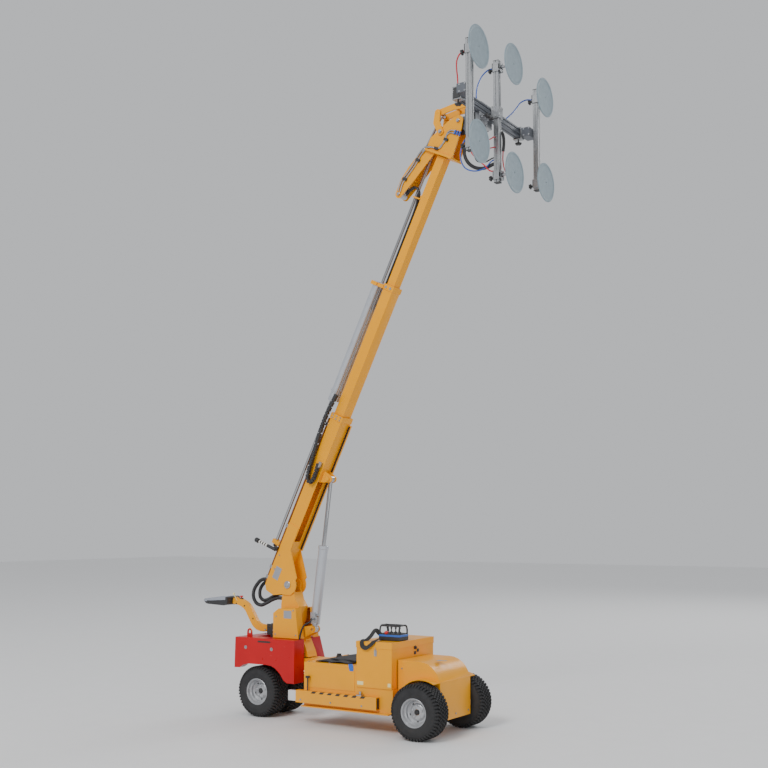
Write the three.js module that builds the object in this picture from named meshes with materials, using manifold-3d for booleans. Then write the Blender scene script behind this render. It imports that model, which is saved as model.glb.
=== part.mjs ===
// Compact outdoor glazing robot: a ride-along lifter with a telescopic boom and a six-cup
// vacuum frame.  Millimetres, +X towards the cups, +Y to the machine's left, +Z up.
// The pieces are laid out from the point on the ground midway between the two axles, and the
// whole machine is then moved so that the origin is the bottom centre of its bounding box.
import * as THREE from 'three';
import Module from 'manifold-3d';
import { mergeVertices } from 'three/addons/utils/BufferGeometryUtils.js';

const wasm = await Module();
wasm.setup();

// ---------------------------------------------------------------- driving dimensions
const GAP = 0.4;                  // clearance kept between neighbouring pieces
const CENTRE_SHIFT = 46;          // moves the middle of the machine's length onto the origin

const AXLE_X = 902;               // front axle at +AXLE_X, rear axle at -AXLE_X
const TYRE_R = 228.5;             // 18 x 8.50-8 turf tyre
const TYRE_W = 206;
const BEAD_R = 108;
const TRACK_FRONT = 373;          // half track of the front wheels
const TRACK_REAR = 146;           // half track of the close twin rear wheels
const HUB_R = 24;                 // stub axle radius

const DECK_Z = 546;
const FLOOR_Z = 165;              // underside of the chassis
const BODY_X0 = -300;             // rear wall of the wide chassis body
const BODY_X1 = 618;
const BODY_Y = 330;               // half width of the chassis body
const SHEET = 6;                  // plate thickness of the welded body
const BEAM_Z0 = 200;              // stabiliser beam section
const BEAM_Z1 = 305;
const BEAM_Y = 382;
const BEAM_X0 = -353;
const BEAM_X1 = 487;

const BOX_X0 = 260;               // battery box
const BOX_X1 = 613;
const BOX_Y = 340;
const BOX_Z0 = 385;
const LID_Z0 = 716;
const LID_Z1 = 758;

const HOOD_X0 = 622;              // front cowl
const HOOD_X1 = 1028;
const HOOD_Y = 254;
const HOOD_Z0 = 137;
const HOOD_Z1 = 611;
const FENDER_Y = 352;
const FENDER_R = 246;

const WEIGHT_X0 = -1165;          // counterweight
const WEIGHT_X1 = -472;
const WEIGHT_Y = 250;
const WEIGHT_Z1 = 710;
const SLOT_Y = 106;               // half width of the slot that the mast and tail beam pass through

const KING_R = 34;                // kingpin of the steered rear axle
const TILLER_X = -926;            // tiller hinge
const TILLER_Z = 792;

const PIVOT = [-686, 1190];       // boom pivot, x and z
const BOOM_ANGLE = 64;            // degrees above the horizontal
const PIVOT_R = 20;
const SECTION_MID = 173;          // height of the boom's centre line above its pivot line
const STAGE = {
  base: { w: 150, h: 126, wall: 6, from: -60, to: 1620 },
  middle: { w: 124, h: 102, wall: 6, from: 1265, to: 2866 },
  tip: { w: 98, h: 80, wall: 5, from: 2545, to: 4056 },
};

const FOOT = [-435, 795];         // lift cylinder foot pivot, x and z
const LIFT_EYE = [1053, 36];      // lift cylinder rod eye in the boom's frame
const LIFT_R = 43;
const LIFT_ROD_R = 18;

const CARRIER_PIVOT = [1120, 5185];
const CUP_FACE_X = 1620;
const CUP_R = 172;
const FRAME_Z = 5126;             // centre height of the cup frame
const BEAM_MID_Z = 5200;
const LINK_C = [1222, 5314];      // top link's pin on the carrier
const CROSS_X = 1385;
const CROSS_HALF = 580;           // half length of the cross beam
const COLUMN_Y = 620;
const OUTER_SPACING = 768;        // between the two cups of an outer bar
const MIDDLE_SPACING = 930;
const BAR = 50;                   // square section of the cup bars
const STEM_R = 12;                // cup stem, free to lean a little in its bore
const STEM_BORE = 16;

// ---------------------------------------------------------------- materials
function paint(color, roughness = 0.45, metalness = 0.1) {
  return new THREE.MeshStandardMaterial({ color, roughness, metalness });
}
const YELLOW = paint(0xf2a007);
const RED = paint(0xc8141e);
const BLACK = paint(0x17171a, 0.6);
const RUBBER = paint(0x232326, 0.85, 0);
const STEEL = paint(0xb9bcc0, 0.35, 0.8);
const CHROME = paint(0xd7dadd, 0.12, 1);
const GREY = paint(0xb8bcc4, 0.4, 0.3);
const WHITE = paint(0xe9e9ea, 0.5, 0);
const ALUMINIUM = paint(0xcfd2d2, 0.35, 0.8);
const DARK_ALUMINIUM = paint(0x5b6068, 0.45, 0.6);
const CUP_RUBBER = paint(0x93a3ac, 0.7, 0);
const RED_HOSE = paint(0xc0202c, 0.5, 0);
const BLUE_HOSE = paint(0x2c4aa0, 0.5, 0);

// ---------------------------------------------------------------- solids
function toSolid(geometry) {
  const bare = geometry.index ? geometry.toNonIndexed() : geometry.clone();
  bare.deleteAttribute('normal');
  bare.deleteAttribute('uv');
  const merged = mergeVertices(bare, 1e-3);
  return new wasm.Manifold(new wasm.Mesh({
    numProp: 3,
    vertProperties: new Float32Array(merged.attributes.position.array),
    triVerts: new Uint32Array(merged.index.array),
  }));
}

function toGeometry(solid) {
  const mesh = solid.getMesh();
  const geometry = new THREE.BufferGeometry();
  geometry.setAttribute('position', new THREE.BufferAttribute(mesh.vertProperties, 3));
  geometry.setIndex(new THREE.BufferAttribute(mesh.triVerts, 1));
  return geometry;
}

function join(first, ...others) {
  return toGeometry(others.reduce((sum, g) => sum.add(toSolid(g)), toSolid(first)));
}

function cut(first, ...tools) {
  return toGeometry(tools.reduce((rest, g) => rest.subtract(toSolid(g)), toSolid(first)));
}

function box(x0, x1, y0, y1, z0, z1) {
  const geometry = new THREE.BoxGeometry(Math.abs(x1 - x0), Math.abs(y1 - y0), Math.abs(z1 - z0));
  return geometry.translate((x0 + x1) / 2, (y0 + y1) / 2, (z0 + z1) / 2);
}

// A cylinder between two points given as [x, y, z].
function rod(from, to, radius, segments = 20, endRadius = radius) {
  const start = new THREE.Vector3(...from);
  const end = new THREE.Vector3(...to);
  const along = end.clone().sub(start);
  const geometry = new THREE.CylinderGeometry(endRadius, radius, along.length(), segments);
  const turn = new THREE.Quaternion().setFromUnitVectors(new THREE.Vector3(0, 1, 0), along.normalize());
  return geometry.applyQuaternion(turn).translate(...start.add(end).multiplyScalar(0.5).toArray());
}

// A cylinder along Y, centred on (x, z).
function pinY(x, z, radius, y0, y1, segments = 20) {
  return rod([x, y0, z], [x, y1, z], radius, segments);
}

// An outline in the XZ plane, extruded from y0 to y1.
function slab(outline, y0, y1) {
  const shape = outline instanceof THREE.Shape
    ? outline
    : new THREE.Shape(outline.map(([x, z]) => new THREE.Vector2(x, z)));
  const settings = { depth: y1 - y0, bevelEnabled: false, curveSegments: 6 };
  const geometry = new THREE.ExtrudeGeometry(shape, settings);
  return geometry.rotateX(Math.PI / 2).translate(0, y1, 0);
}

function mirrorY(geometry) {
  const copy = geometry.clone().applyMatrix4(new THREE.Matrix4().makeScale(1, -1, 1));
  const index = copy.index;
  if (!index) {
    const position = copy.attributes.position;
    const swapped = position.array.slice();
    for (let t = 0; t < position.count; t += 3) {
      swapped.set(position.array.subarray(3 * (t + 1), 3 * (t + 2)), 3 * (t + 2));
      swapped.set(position.array.subarray(3 * (t + 2), 3 * (t + 3)), 3 * (t + 1));
    }
    position.array.set(swapped);
    return copy;
  }
  for (let t = 0; t < index.count; t += 3) {
    const second = index.getX(t + 1);
    index.setX(t + 1, index.getX(t + 2));
    index.setX(t + 2, second);
  }
  return copy;
}

// The same pair of plates on both sides of the centre plane.
function pair(outline, inner, outer) {
  return [slab(outline, inner, outer), slab(outline, -outer, -inner)];
}

// A profile of [radius, axial] points, closed on itself or on the axis, turned about the Y axis.
function turned(profile, segments, x, y, z) {
  const points = profile.map(([radius, axial]) => new THREE.Vector2(radius, axial));
  const geometry = new THREE.LatheGeometry(points, segments);
  geometry.rotateY(Math.PI / segments);
  return toGeometry(toSolid(geometry)).translate(x, y, z);
}

// A round tube along hand-placed points.
function hose(points, radius, steps, sides = 8) {
  const curve = new THREE.CatmullRomCurve3(points.map((p) => new THREE.Vector3(...p)), false, 'centripetal');
  const section = new THREE.Shape();
  for (let i = 0; i < sides; i += 1) {
    const turn = (2 * Math.PI * (i + 0.5)) / sides;
    const corner = [radius * Math.cos(turn), radius * Math.sin(turn)];
    if (i === 0) section.moveTo(...corner);
    else section.lineTo(...corner);
  }
  return new THREE.ExtrudeGeometry(section, { steps, extrudePath: curve, curveSegments: 1 });
}

// A straight-sided link with round ends, as an outline in the XZ plane.
function link(a, b, radius, endRadius = radius, arcSteps = 8) {
  const along = Math.atan2(b[1] - a[1], b[0] - a[0]);
  const outline = [];
  for (let i = 0; i <= arcSteps; i += 1) {
    const angle = along + Math.PI / 2 + (Math.PI * i) / arcSteps;
    outline.push([a[0] + radius * Math.cos(angle), a[1] + radius * Math.sin(angle)]);
  }
  for (let i = 0; i <= arcSteps; i += 1) {
    const angle = along - Math.PI / 2 + (Math.PI * i) / arcSteps;
    outline.push([b[0] + endRadius * Math.cos(angle), b[1] + endRadius * Math.sin(angle)]);
  }
  return outline;
}

// Points on an arc about (cx, cz), angles in degrees.
function arc(cx, cz, radius, from, to, steps) {
  const points = [];
  for (let i = 0; i <= steps; i += 1) {
    const angle = THREE.MathUtils.degToRad(from + ((to - from) * i) / steps);
    points.push([cx + radius * Math.cos(angle), cz + radius * Math.sin(angle)]);
  }
  return points;
}

const machine = new THREE.Group();
machine.position.x = CENTRE_SHIFT;

function add(name, geometry, material, parent = machine) {
  const mesh = new THREE.Mesh(geometry, material);
  mesh.name = name;
  parent.add(mesh);
  return mesh;
}

// ---------------------------------------------------------------- chassis
function chassisFrame() {
  const tailTop = DECK_Z - SHEET;
  const bodySide = [[BODY_X0, FLOOR_Z], [BODY_X1, FLOOR_Z], [BODY_X1, BOX_Z0 - 12], [BOX_X0 - 4, BOX_Z0 - 12],
    [BOX_X0 - 4, DECK_Z], [BODY_X0, DECK_Z]];
  const hollowSide = [[BODY_X0 + SHEET, FLOOR_Z - 9], [BODY_X1 - SHEET, FLOOR_Z - 9],
    [BODY_X1 - SHEET, BOX_Z0 - 12 - SHEET], [BOX_X0 - 4 - SHEET, BOX_Z0 - 12 - SHEET],
    [BOX_X0 - 4 - SHEET, DECK_Z - SHEET], [BODY_X0 + SHEET, DECK_Z - SHEET]];
  const shell = cut(slab(bodySide, -BODY_Y, BODY_Y), slab(hollowSide, -BODY_Y + SHEET, BODY_Y - SHEET));

  const beams = [];
  for (const side of [-1, 1]) {
    const y0 = Math.min(side * (BODY_Y - 2), side * BEAM_Y);
    const y1 = Math.max(side * (BODY_Y - 2), side * BEAM_Y);
    const tube = cut(
      box(BEAM_X0, BEAM_X1, y0, y1, BEAM_Z0, BEAM_Z1),
      box(BEAM_X0 - 5, BEAM_X1 + 5, y0 + 5, y1 - 5, BEAM_Z0 + 6, BEAM_Z1 - 6),
      pinZ(BEAM_X0 + 111, side * 356, 7, BEAM_Z1 - 12, BEAM_Z1 + 5),
    );
    beams.push(tube);
    beams.push(box(BODY_X0, BODY_X1 - 20, Math.min(side * 326, side * 372), Math.max(side * 326, side * 372),
      FLOOR_Z, FLOOR_Z + 10));
  }

  const tail = cut(
    box(-1010, BODY_X0 + 3, -96, 96, 476, tailTop),
    pinZ(-AXLE_X, 0, KING_R + 1, 470, 560),
    box(-830, BODY_X0 - 40, -84, 84, 470, tailTop - 10),
  );
  const tailBrace = slab([[BODY_X0 + 3, 330], [BODY_X0 + 3, 480], [-470, 480], [-440, 440]], -90, 90);
  const nose = cut(
    box(BODY_X1 - 8, 962, -120, 120, 190, 330),
    box(BODY_X1 - 3, 950, -112, 112, 180, 322),
  );
  const stubs = [];
  for (const side of [-1, 1]) {
    const tube = pinY(AXLE_X, TYRE_R, 45, 118, 300, 16);
    const stub = pinY(AXLE_X, TYRE_R, HUB_R, 299, 402, 16);
    stubs.push(...(side > 0 ? [tube, stub] : [mirrorY(tube), mirrorY(stub)]));
  }
  return join(shell, ...beams, tail, tailBrace, nose, ...stubs);
}

// A cylinder along Z, centred on (x, y).
function pinZ(x, y, radius, z0, z1, segments = 20) {
  return rod([x, y, z0], [x, y, z1], radius, segments);
}

function mast() {
  const front = [[-452, 548], [-470, 600], [-526, 715], [-600, 815], [-573, 880], [-561, 996], [-606, 1060]];
  const lug = arc(PIVOT[0], PIVOT[1], 62, -30, 200, 12);
  const rear = [[-768, 1010], [-778, 548]];
  const inside = [[-468, 540], [-486, 600], [-541, 713], [-616, 812], [-588, 880], [-577, 990], [-632, 1060],
    [-660, 1100], [-716, 1100], [-754, 1005], [-764, 540]];
  const column = cut(
    slab([...front, ...lug, ...rear], -66, 66),
    slab(inside, -56, 56),
    pinY(PIVOT[0], PIVOT[1], PIVOT_R + GAP, -80, 80, 24),
    slab(link([PIVOT[0] + 40, PIVOT[1] + 30], PIVOT, 90), -40, 40),
  );
  const ear = [...link([-600, 745], FOOT, 62, 34)];
  const ears = pair(ear, 28, 42).map((g) => cut(g, pinY(...FOOT, 12, -60, 60, 16)));
  const footWeb = box(-560, -500, -41, 41, 690, 706);
  return join(column, ...ears, footWeb);
}

function mastCover() {
  const outer = [[-790, 714], [-500, 714], [-536, 985], [-728, 978], [-790, 935]];
  const walls = cut(
    slab(outer, -155, 155),
    slab([[-787, 700], [-430, 700], [-430, 1100], [-725, 1000], [-787, 933]], -152, 152),
  );
  const roof = [[-790, 932], [-728, 975], [-536, 982], [-536, 985], [-728, 978], [-790, 935]];
  const front = [[-500, 714], [-536, 985], [-539, 985], [-503, 714]];
  return join(walls, ...pair(roof, 68, 155), ...pair(front, 68, 155));
}

function batteryBox() {
  return cut(
    box(BOX_X0, BOX_X1, -BOX_Y, BOX_Y, BOX_Z0 - 11, LID_Z0 - 1),
    box(BOX_X0 + 4, BOX_X1 - 4, -BOX_Y + 4, BOX_Y - 4, BOX_Z0 - 7, LID_Z0 + 9),
  );
}

function batteryLid() {
  return cut(
    box(BOX_X0 - 4, BOX_X1 + 4, -BOX_Y - 4, BOX_Y + 4, LID_Z0 - 14, LID_Z1),
    box(BOX_X0 - 1, BOX_X1 + 1, -BOX_Y - 1, BOX_Y + 1, LID_Z0 - 24, LID_Z1 - 3),
  );
}

function batteryPack() {
  const block = box(BOX_X0 + 30, BOX_X1 - 30, -260, 260, BOX_Z0 - 6.5, 640);
  const posts = [-180, -60, 60, 180].map((y) => pinZ(BOX_X0 + 80, y, 9, 639, 655, 12));
  return join(block, ...posts);
}

function hydraulicUnit() {
  const tank = box(-230, 20, -250, -20, 300, 500);
  const pump = rod([20, -120, 400], [150, -120, 400], 58, 20);
  const motor = rod([-200, 10, 380], [60, 10, 380], 68, 20);
  const bridge = box(-180, 0, -30, 20, 330, 430);
  return join(tank, pump, motor, bridge);
}

function frontCowl() {
  const nose = (inset) => [
    [HOOD_X0 + (inset ? -9 : 0), HOOD_Z0 - (inset ? 9 : 0)],
    [HOOD_X1 - inset, HOOD_Z0 - (inset ? 9 : 0)],
    [HOOD_X1 - inset, 455],
    ...arc(830, 416, 195 - inset, 12, 90, 6),
    [HOOD_X0 + (inset ? -9 : 0), HOOD_Z1 - inset],
  ];
  const shell = cut(
    slab(nose(0), -HOOD_Y, HOOD_Y),
    slab(nose(5), -HOOD_Y + 5, HOOD_Y - 5),
    slab([[HOOD_X0 - 10, 100], [990, 100], [990, 300], [960, 330], [HOOD_X0 - 10, 330]], -300, 300),
  );
  const band = [
    ...arc(AXLE_X, TYRE_R, FENDER_R, 62, 156, 12),
    ...arc(AXLE_X, TYRE_R, FENDER_R + 7, 156, 62, 12),
  ];
  const fenders = [slab(band, HOOD_Y - 3, FENDER_Y), slab(band, -FENDER_Y, -HOOD_Y + 3)];
  return join(shell, ...fenders);
}

function counterweight() {
  const side = [
    [WEIGHT_X0, 431], [-1104, 434], [-1060, 462], [-1008, 474], [-800, 476], [-737, 470],
    [-690, 450], [-636, 408], [-592, 350], [-556, 329],
    [WEIGHT_X1, 329], [WEIGHT_X1, WEIGHT_Z1], [WEIGHT_X0 + 8, WEIGHT_Z1],
  ];
  const block = cut(
    slab(side, -WEIGHT_Y, WEIGHT_Y),
    box(-1016, WEIGHT_X1 + 10, -SLOT_Y, SLOT_Y, 300, 800),
    box(WEIGHT_X0 - 5, -1010, -172, 172, 400, 478),
    slab([[-500, 520], [-440, 500], [-440, 740], [-566, 740]], SLOT_Y - 5, WEIGHT_Y + 5),
  );
  const eye = cut(
    slab(link([-1072, 700], [-1072, 755], 30, 27), -152, -138),
    pinY(-1072, 752, 16, -160, -130, 16),
  );
  return join(block, eye);
}

function steeringYoke() {
  const leg = box(-AXLE_X - 62, -AXLE_X + 62, -26, 26, 190, 462);
  const hub = pinY(-AXLE_X, TYRE_R, 62, -36, 36, 24);
  const axle = pinY(-AXLE_X, TYRE_R, HUB_R, -178, 178, 16);
  const plate = pinZ(-AXLE_X, 0, 84, 461, 475, 24);
  const pin = pinZ(-AXLE_X, 0, KING_R, 470, 745, 24);
  const head = cut(
    box(-956, -852, -38, 38, 722, 822),
    box(-975, -866, -23, 23, 734, 830),
    pinY(TILLER_X, TILLER_Z, 9 + GAP, -60, 60, 16),
  );
  return join(leg, hub, axle, plate, pin, head);
}

function tillerArm() {
  const spine = [
    [-900, 790], [-1030, 778], [-1100, 800], [-1160, 880], [-1215, 960], [-1290, 1005], [-1390, 1018],
  ];
  const points = spine.map(([x, z]) => new THREE.Vector3(x, 0, z));
  const curve = new THREE.CatmullRomCurve3(points, false, 'centripetal');
  const upper = [];
  const lower = [];
  const steps = 16;
  for (let i = 0; i <= steps; i += 1) {
    const at = curve.getPointAt(i / steps);
    const tangent = curve.getTangentAt(i / steps);
    const half = 28 + 9 * Math.sin((Math.PI * i) / steps);
    upper.push([at.x - tangent.z * half, at.z + tangent.x * half]);
    lower.push([at.x + tangent.z * half, at.z - tangent.x * half]);
  }
  const body = slab([...upper, ...lower.reverse()], -21, 21);
  const pin = pinY(TILLER_X, TILLER_Z, 9, -37, 37, 16);
  return cut(
    join(body, pin),
    box(-1386, -1330, -14, 14, 1027, 1100),
    pinZ(-1300, 0, 9.5, 1022, 1100, 16),
  );
}

function tillerGrip() {
  const outer = [
    [-1398, 984], [-1398, 1056], [-1450, 1058], [-1690, 1028], [-1712, 1004], [-1690, 984], [-1450, 974],
  ];
  const hoop = slab(outer, -95, 95);
  const opening = box(-1660, -1440, -62, 62, 900, 1100);
  const corner = box(-1720, -1655, 70, 120, 900, 1100);
  return cut(hoop, opening, corner, mirrorY(corner));
}

function driveRocker() {
  const paddle = slab([[-1378, 1031], [-1338, 1031], [-1338, 1046], [-1358, 1054], [-1378, 1050]], -12, 12);
  return paddle;
}

function stopButton() {
  return join(pinZ(-1300, 0, 8.5, 1030, 1062, 16), pinZ(-1300, 0, 17, 1057, 1069, 20));
}

// A wheel is a rim and a tyre, both turned about the axle.
const TYRE_SEGMENTS = 20;
const FLAT = 1 / Math.cos(Math.PI / TYRE_SEGMENTS);

function tyre(side, centreY, x) {
  const half = TYRE_W / 2;
  const r = (value) => value * FLAT;
  const profile = [[r(BEAD_R), half - 12], [r(180), half], [r(214), half - 8], [r(TYRE_R), half - 32],
    [r(TYRE_R), -half + 32], [r(214), -half + 8], [r(180), -half], [r(BEAD_R), -half + 12],
    [r(BEAD_R), -half + 28], [r(212), -half + 24], [r(212), half - 24], [r(BEAD_R), half - 28],
    [r(BEAD_R), half - 12]].reverse();
  return turned(profile, TYRE_SEGMENTS, x, side * centreY, TYRE_R);
}

function rim(side, centreY, x) {
  const half = TYRE_W / 2;
  const bead = BEAD_R - 3;
  const ring = [
    [HUB_R + 1, 18], [HUB_R + 1, -6], [44, -6], [bead - 14, 14], [bead - 14, -half + 12],
    [bead + 9, -half + 1], [bead, -half + 10], [bead, half - 10], [bead + 9, half - 1],
    [bead - 14, half - 12], [bead - 14, 30], [44, 18], [HUB_R + 1, 18],
  ];
  const outward = ring.map(([radius, axial]) => [radius, side * axial]);
  return turned(side > 0 ? outward : outward.reverse(), 16, x, side * centreY, TYRE_R);
}

function liftBarrel(axis) {
  const at = (distance, y = 0) => [FOOT[0] + axis[0] * distance, y, FOOT[1] + axis[1] * distance];
  const body = join(
    rod(at(48), at(745), LIFT_R, 20),
    rod(at(735), at(762), LIFT_R + 4, 20),
    pinY(...FOOT, 33, -27.5, 27.5, 24),
    pinY(...FOOT, 12 - GAP, -48, 48, 16),
    rod(at(16), at(70), 26, 16),
  );
  return cut(body, rod(at(60), at(780), LIFT_ROD_R + 8, 20));
}

function liftRod(axis, length) {
  const at = (distance) => [FOOT[0] + axis[0] * distance, 0, FOOT[1] + axis[1] * distance];
  return join(
    rod(at(660), at(length - 20), LIFT_ROD_R, 20),
    rod(at(650), at(690), LIFT_ROD_R + 7, 20),
    pinY(FOOT[0] + axis[0] * length, FOOT[1] + axis[1] * length, 30, -23, 23, 24),
  );
}

// ---------------------------------------------------------------- boom, in its own frame
// In the boom's group X runs up the boom from the pivot and Z is square to it.
function squareTube({ w, h, wall, from, to }) {
  const z0 = SECTION_MID - h / 2;
  const z1 = SECTION_MID + h / 2;
  return cut(
    box(from, to, -w / 2, w / 2, z0, z1),
    box(from - 5, to + 5, -w / 2 + wall, w / 2 - wall, z0 + wall, z1 - wall),
  );
}

function boomBase() {
  const low = SECTION_MID - STAGE.base.h / 2;
  const high = SECTION_MID + STAGE.base.h / 2;
  const cheek = [
    [520, low + 5], [298, low], [104, -64], ...arc(0, 0, 96, -38, -140, 7),
    [-108, 20], [-162, 108], [-158, 203], [-110, high], [520, high],
  ];
  const cheeks = pair(cheek, 68, 80);
  const tube = cut(
    squareTube(STAGE.base),
    box(384, 987, -70, 16, low - 5, low + 10),
  );
  const web = box(-110, 300, -70, 70, high - 8, high);
  const rail = box(300, 1560, 57, 75, low - 26, low + 1);
  const ear = [...arc(LIFT_EYE[0], LIFT_EYE[1], 34, 180, 360, 8), [LIFT_EYE[0] + 50, low + 1],
    [LIFT_EYE[0] - 70, low + 1]];
  const ears = pair(ear, 27, 41);
  const studs = [pinY(...LIFT_EYE, 17, 40, 62, 16), pinY(...LIFT_EYE, 17, -62, -40, 16)];
  const collar = cut(
    box(1570, 1622, -81, 81, low - 6, high + 6),
    box(1560, 1630, -70, 70, low + 5, high - 5),
  );
  const anchor = box(262, 300, -66, -6, high - 2, 350);
  const body = join(tube, ...cheeks, web, rail, ...ears, ...studs, collar, anchor);
  const pivotBore = pinY(0, 0, PIVOT_R + GAP, -100, 100, 24);
  const rodBore = rod([250, -BARREL_Y, BARREL_V], [310, -BARREL_Y, BARREL_V], EXTEND_ROD_R + GAP, 16);
  return cut(body, pivotBore, rodBore);
}

function boomMiddle() {
  const tube = squareTube(STAGE.middle);
  const high = SECTION_MID + STAGE.middle.h / 2;
  const low = SECTION_MID - STAGE.middle.h / 2;
  const collar = cut(
    box(2818, 2868, -68, 68, low - 6, high + 6),
    box(2810, 2875, -57, 57, low + 5, high - 5),
  );
  const saddle = cut(
    box(2818, 2850, -78, 78, high, 364),
    rod([2800, -BARREL_Y, BARREL_V], [2870, -BARREL_Y, BARREL_V], BARREL_R + GAP, 20),
    rod([2800, BARREL_Y, BARREL_V], [2870, BARREL_Y, BARREL_V], BARREL_R + GAP, 20),
    box(2800, 2870, -22, 22, high + 6, 272),
    box(2800, 2870, -90, -62, high + 6, 300),
    box(2800, 2870, 62, 90, high + 6, 300),
  );
  return join(tube, collar, saddle);
}

function boomTip() {
  return squareTube(STAGE.tip);
}

// Two parallel extension cylinders lie on the boom: one rod runs down to the base stage and
// the other runs up to the tip stage.
const BARREL_V = 322;
const BARREL_Y = 36;
const BARREL_R = 34;
const EXTEND_ROD_R = 15;

function extendBarrel() {
  const barrels = [-BARREL_Y, BARREL_Y].map((y) => {
    const foot = [1705, y, BARREL_V];
    return rod(foot, [2856, y, BARREL_V], BARREL_R, 20);
  });
  const tie = box(1705, 1765, -40, 40, BARREL_V - 30, BARREL_V + 30);
  return cut(
    join(...barrels, tie),
    rod([1690, -BARREL_Y, BARREL_V], [2846, -BARREL_Y, BARREL_V], EXTEND_ROD_R + 9, 16),
    rod([1715, BARREL_Y, BARREL_V], [2870, BARREL_Y, BARREL_V], EXTEND_ROD_R + 9, 16),
  );
}

function extendRodLower() {
  return join(
    rod([232, -BARREL_Y, BARREL_V], [1760, -BARREL_Y, BARREL_V], EXTEND_ROD_R, 16),
    rod([1740, -BARREL_Y, BARREL_V], [1775, -BARREL_Y, BARREL_V], EXTEND_ROD_R + 7, 16),
  );
}

function extendRodUpper() {
  return join(
    rod([2800, BARREL_Y, BARREL_V], [4058, BARREL_Y, BARREL_V], EXTEND_ROD_R, 16),
    rod([2790, BARREL_Y, BARREL_V], [2825, BARREL_Y, BARREL_V], EXTEND_ROD_R + 7, 16),
  );
}

function signalLamp() {
  return join(
    rod([232, -104, 262], [214, -104, 505], 15, 16),
    rod([218, -104, 455], [214, -104, 505], 22, 16),
    box(226, 262, -110, -86, 240, 275),
  );
}

function hoseChain() {
  const y = -106;
  const route = [
    [1776, y, 246], [1600, y, 266], [1460, y, 266], [1200, y, 240], [1020, y, 218],
    [968, y, 196], [956, y, 168], [985, y, 146], [1050, y, 144], [1150, y, 152],
  ];
  return hose(route, 24, 36, 4);
}

// ---------------------------------------------------------------- head
const KNUCKLE_IN = 58;
const KNUCKLE_OUT = 70;
const ROCKER_A = [4247, 252];
const ROCKER_B = [4394, 352];
const TILT_FOOT = [3632, 438];

function headKnuckle(pivot) {
  const plate = [
    [4062, 46], [4062, 330], [4174, 334], [4247, 286], [4349, 226], [pivot[0] + 24, pivot[1] + 46],
    ...arc(pivot[0], pivot[1], 46, 45, -80, 5), [4323, 66], [4222, 58],
  ];
  const plates = pair(plate, KNUCKLE_IN, KNUCKLE_OUT);
  const flange = box(4060.4, 4076, -92, 92, 42, 332);
  const web = [[4070, 322], [4172, 326], [4200, 308], [4204, 314], [4174, 334], [4070, 330]];
  const rearWeb = slab(web, -60, 60);
  const arm = [
    [4064, 330], [4031, 388], [3873, 448], [3749, 476], ...arc(...TILT_FOOT, 36, 75, 270, 6),
    [3752, 352], [4002, 262], [4064, 240],
  ];
  const channel = pair(arm, 54, 62);
  const braces = [[3790, 376], [3960, 357]].map(([u, v]) => pinY(u, v, 9, -58, 58, 12));
  const ends = [pinY(...TILT_FOOT, 12, 44, 70, 16), pinY(...TILT_FOOT, 12, -70, -44, 16)];
  const pivotPin = pinY(...pivot, 14, -78, 78, 16);
  const rockerStuds = [pinY(...ROCKER_A, 13, 66, 92, 16), pinY(...ROCKER_A, 13, -92, -66, 16)];
  return join(...plates, flange, rearWeb, ...channel, ...braces, ...ends, ...rockerStuds, pivotPin);
}

function tiltBarrel(axis) {
  const at = (distance) => [TILT_FOOT[0] + axis[0] * distance, 0, TILT_FOOT[1] + axis[1] * distance];
  const body = join(rod(at(10), at(440), 25, 16), pinY(...TILT_FOOT, 28, -42, 42, 16));
  return cut(body, rod(at(60), at(450), 18, 12));
}

function tiltRod(axis, length) {
  const at = (distance) => [TILT_FOOT[0] + axis[0] * distance, 0, TILT_FOOT[1] + axis[1] * distance];
  const eye = [TILT_FOOT[0] + axis[0] * length, TILT_FOOT[1] + axis[1] * length];
  return cut(
    join(rod(at(380), at(length - 20), 11, 12), rod(at(370), at(395), 17, 12), pinY(...eye, 30, -16, 16, 20)),
    pinY(...eye, 22, -20, 20, 20),
  );
}

function rockerLink() {
  const bow = [(ROCKER_A[0] + ROCKER_B[0]) / 2 - 10, (ROCKER_A[1] + ROCKER_B[1]) / 2 + 22];
  const outline = link(ROCKER_A, bow, 28, 31);
  const upper = link(bow, ROCKER_B, 31, 27);
  const plates = [];
  for (const [y0, y1] of [[72, 86], [-86, -72]]) {
    plates.push(join(slab(outline, y0, y1), slab(upper, y0, y1)));
  }
  const tube = pinY(...ROCKER_B, 9, -88, 88, 16);
  return cut(join(plates[0], plates[1], tube), pinY(...ROCKER_A, 13 + GAP, 60, 100, 16),
    pinY(...ROCKER_A, 13 + GAP, -100, -60, 16));
}

function topLink(b, c) {
  const crown = [(b[0] + c[0]) / 2 + 12, (b[1] + c[1]) / 2 + 4];
  const plates = [];
  for (const [y0, y1] of [[57, 69], [-69, -57]]) {
    plates.push(join(slab(link(b, crown, 26, 27), y0, y1), slab(link(crown, c, 27, 24), y0, y1)));
  }
  const spacer = pinY(crown[0], crown[1], 10, -60, 60, 16);
  return cut(join(plates[0], plates[1], spacer), pinY(...b, 9 + GAP, -90, 90, 16));
}

function headCarrier(c) {
  const [px, pz] = CARRIER_PIVOT;
  const arm = [...arc(px, pz, 34, 90, 235, 7), [1204, 5060], [1204, pz + 34]];
  const arms = pair(arm, 36, 50).map((g) => cut(g, pinY(px, pz, 14 + GAP, -70, 70, 20)));
  const ears = pair(link([1200, 5285], c, 20), 40, 50);
  const plate = box(1200, 1216, -100, 100, 5040, 5262);
  const crown = box(1200, 1216, -50, 50, 5255, 5322);
  const spindle = rod([1210, 0, BEAM_MID_Z], [1296, 0, BEAM_MID_Z], 28, 20);
  return join(plate, crown, ...arms, ...ears, spindle);
}

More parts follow.
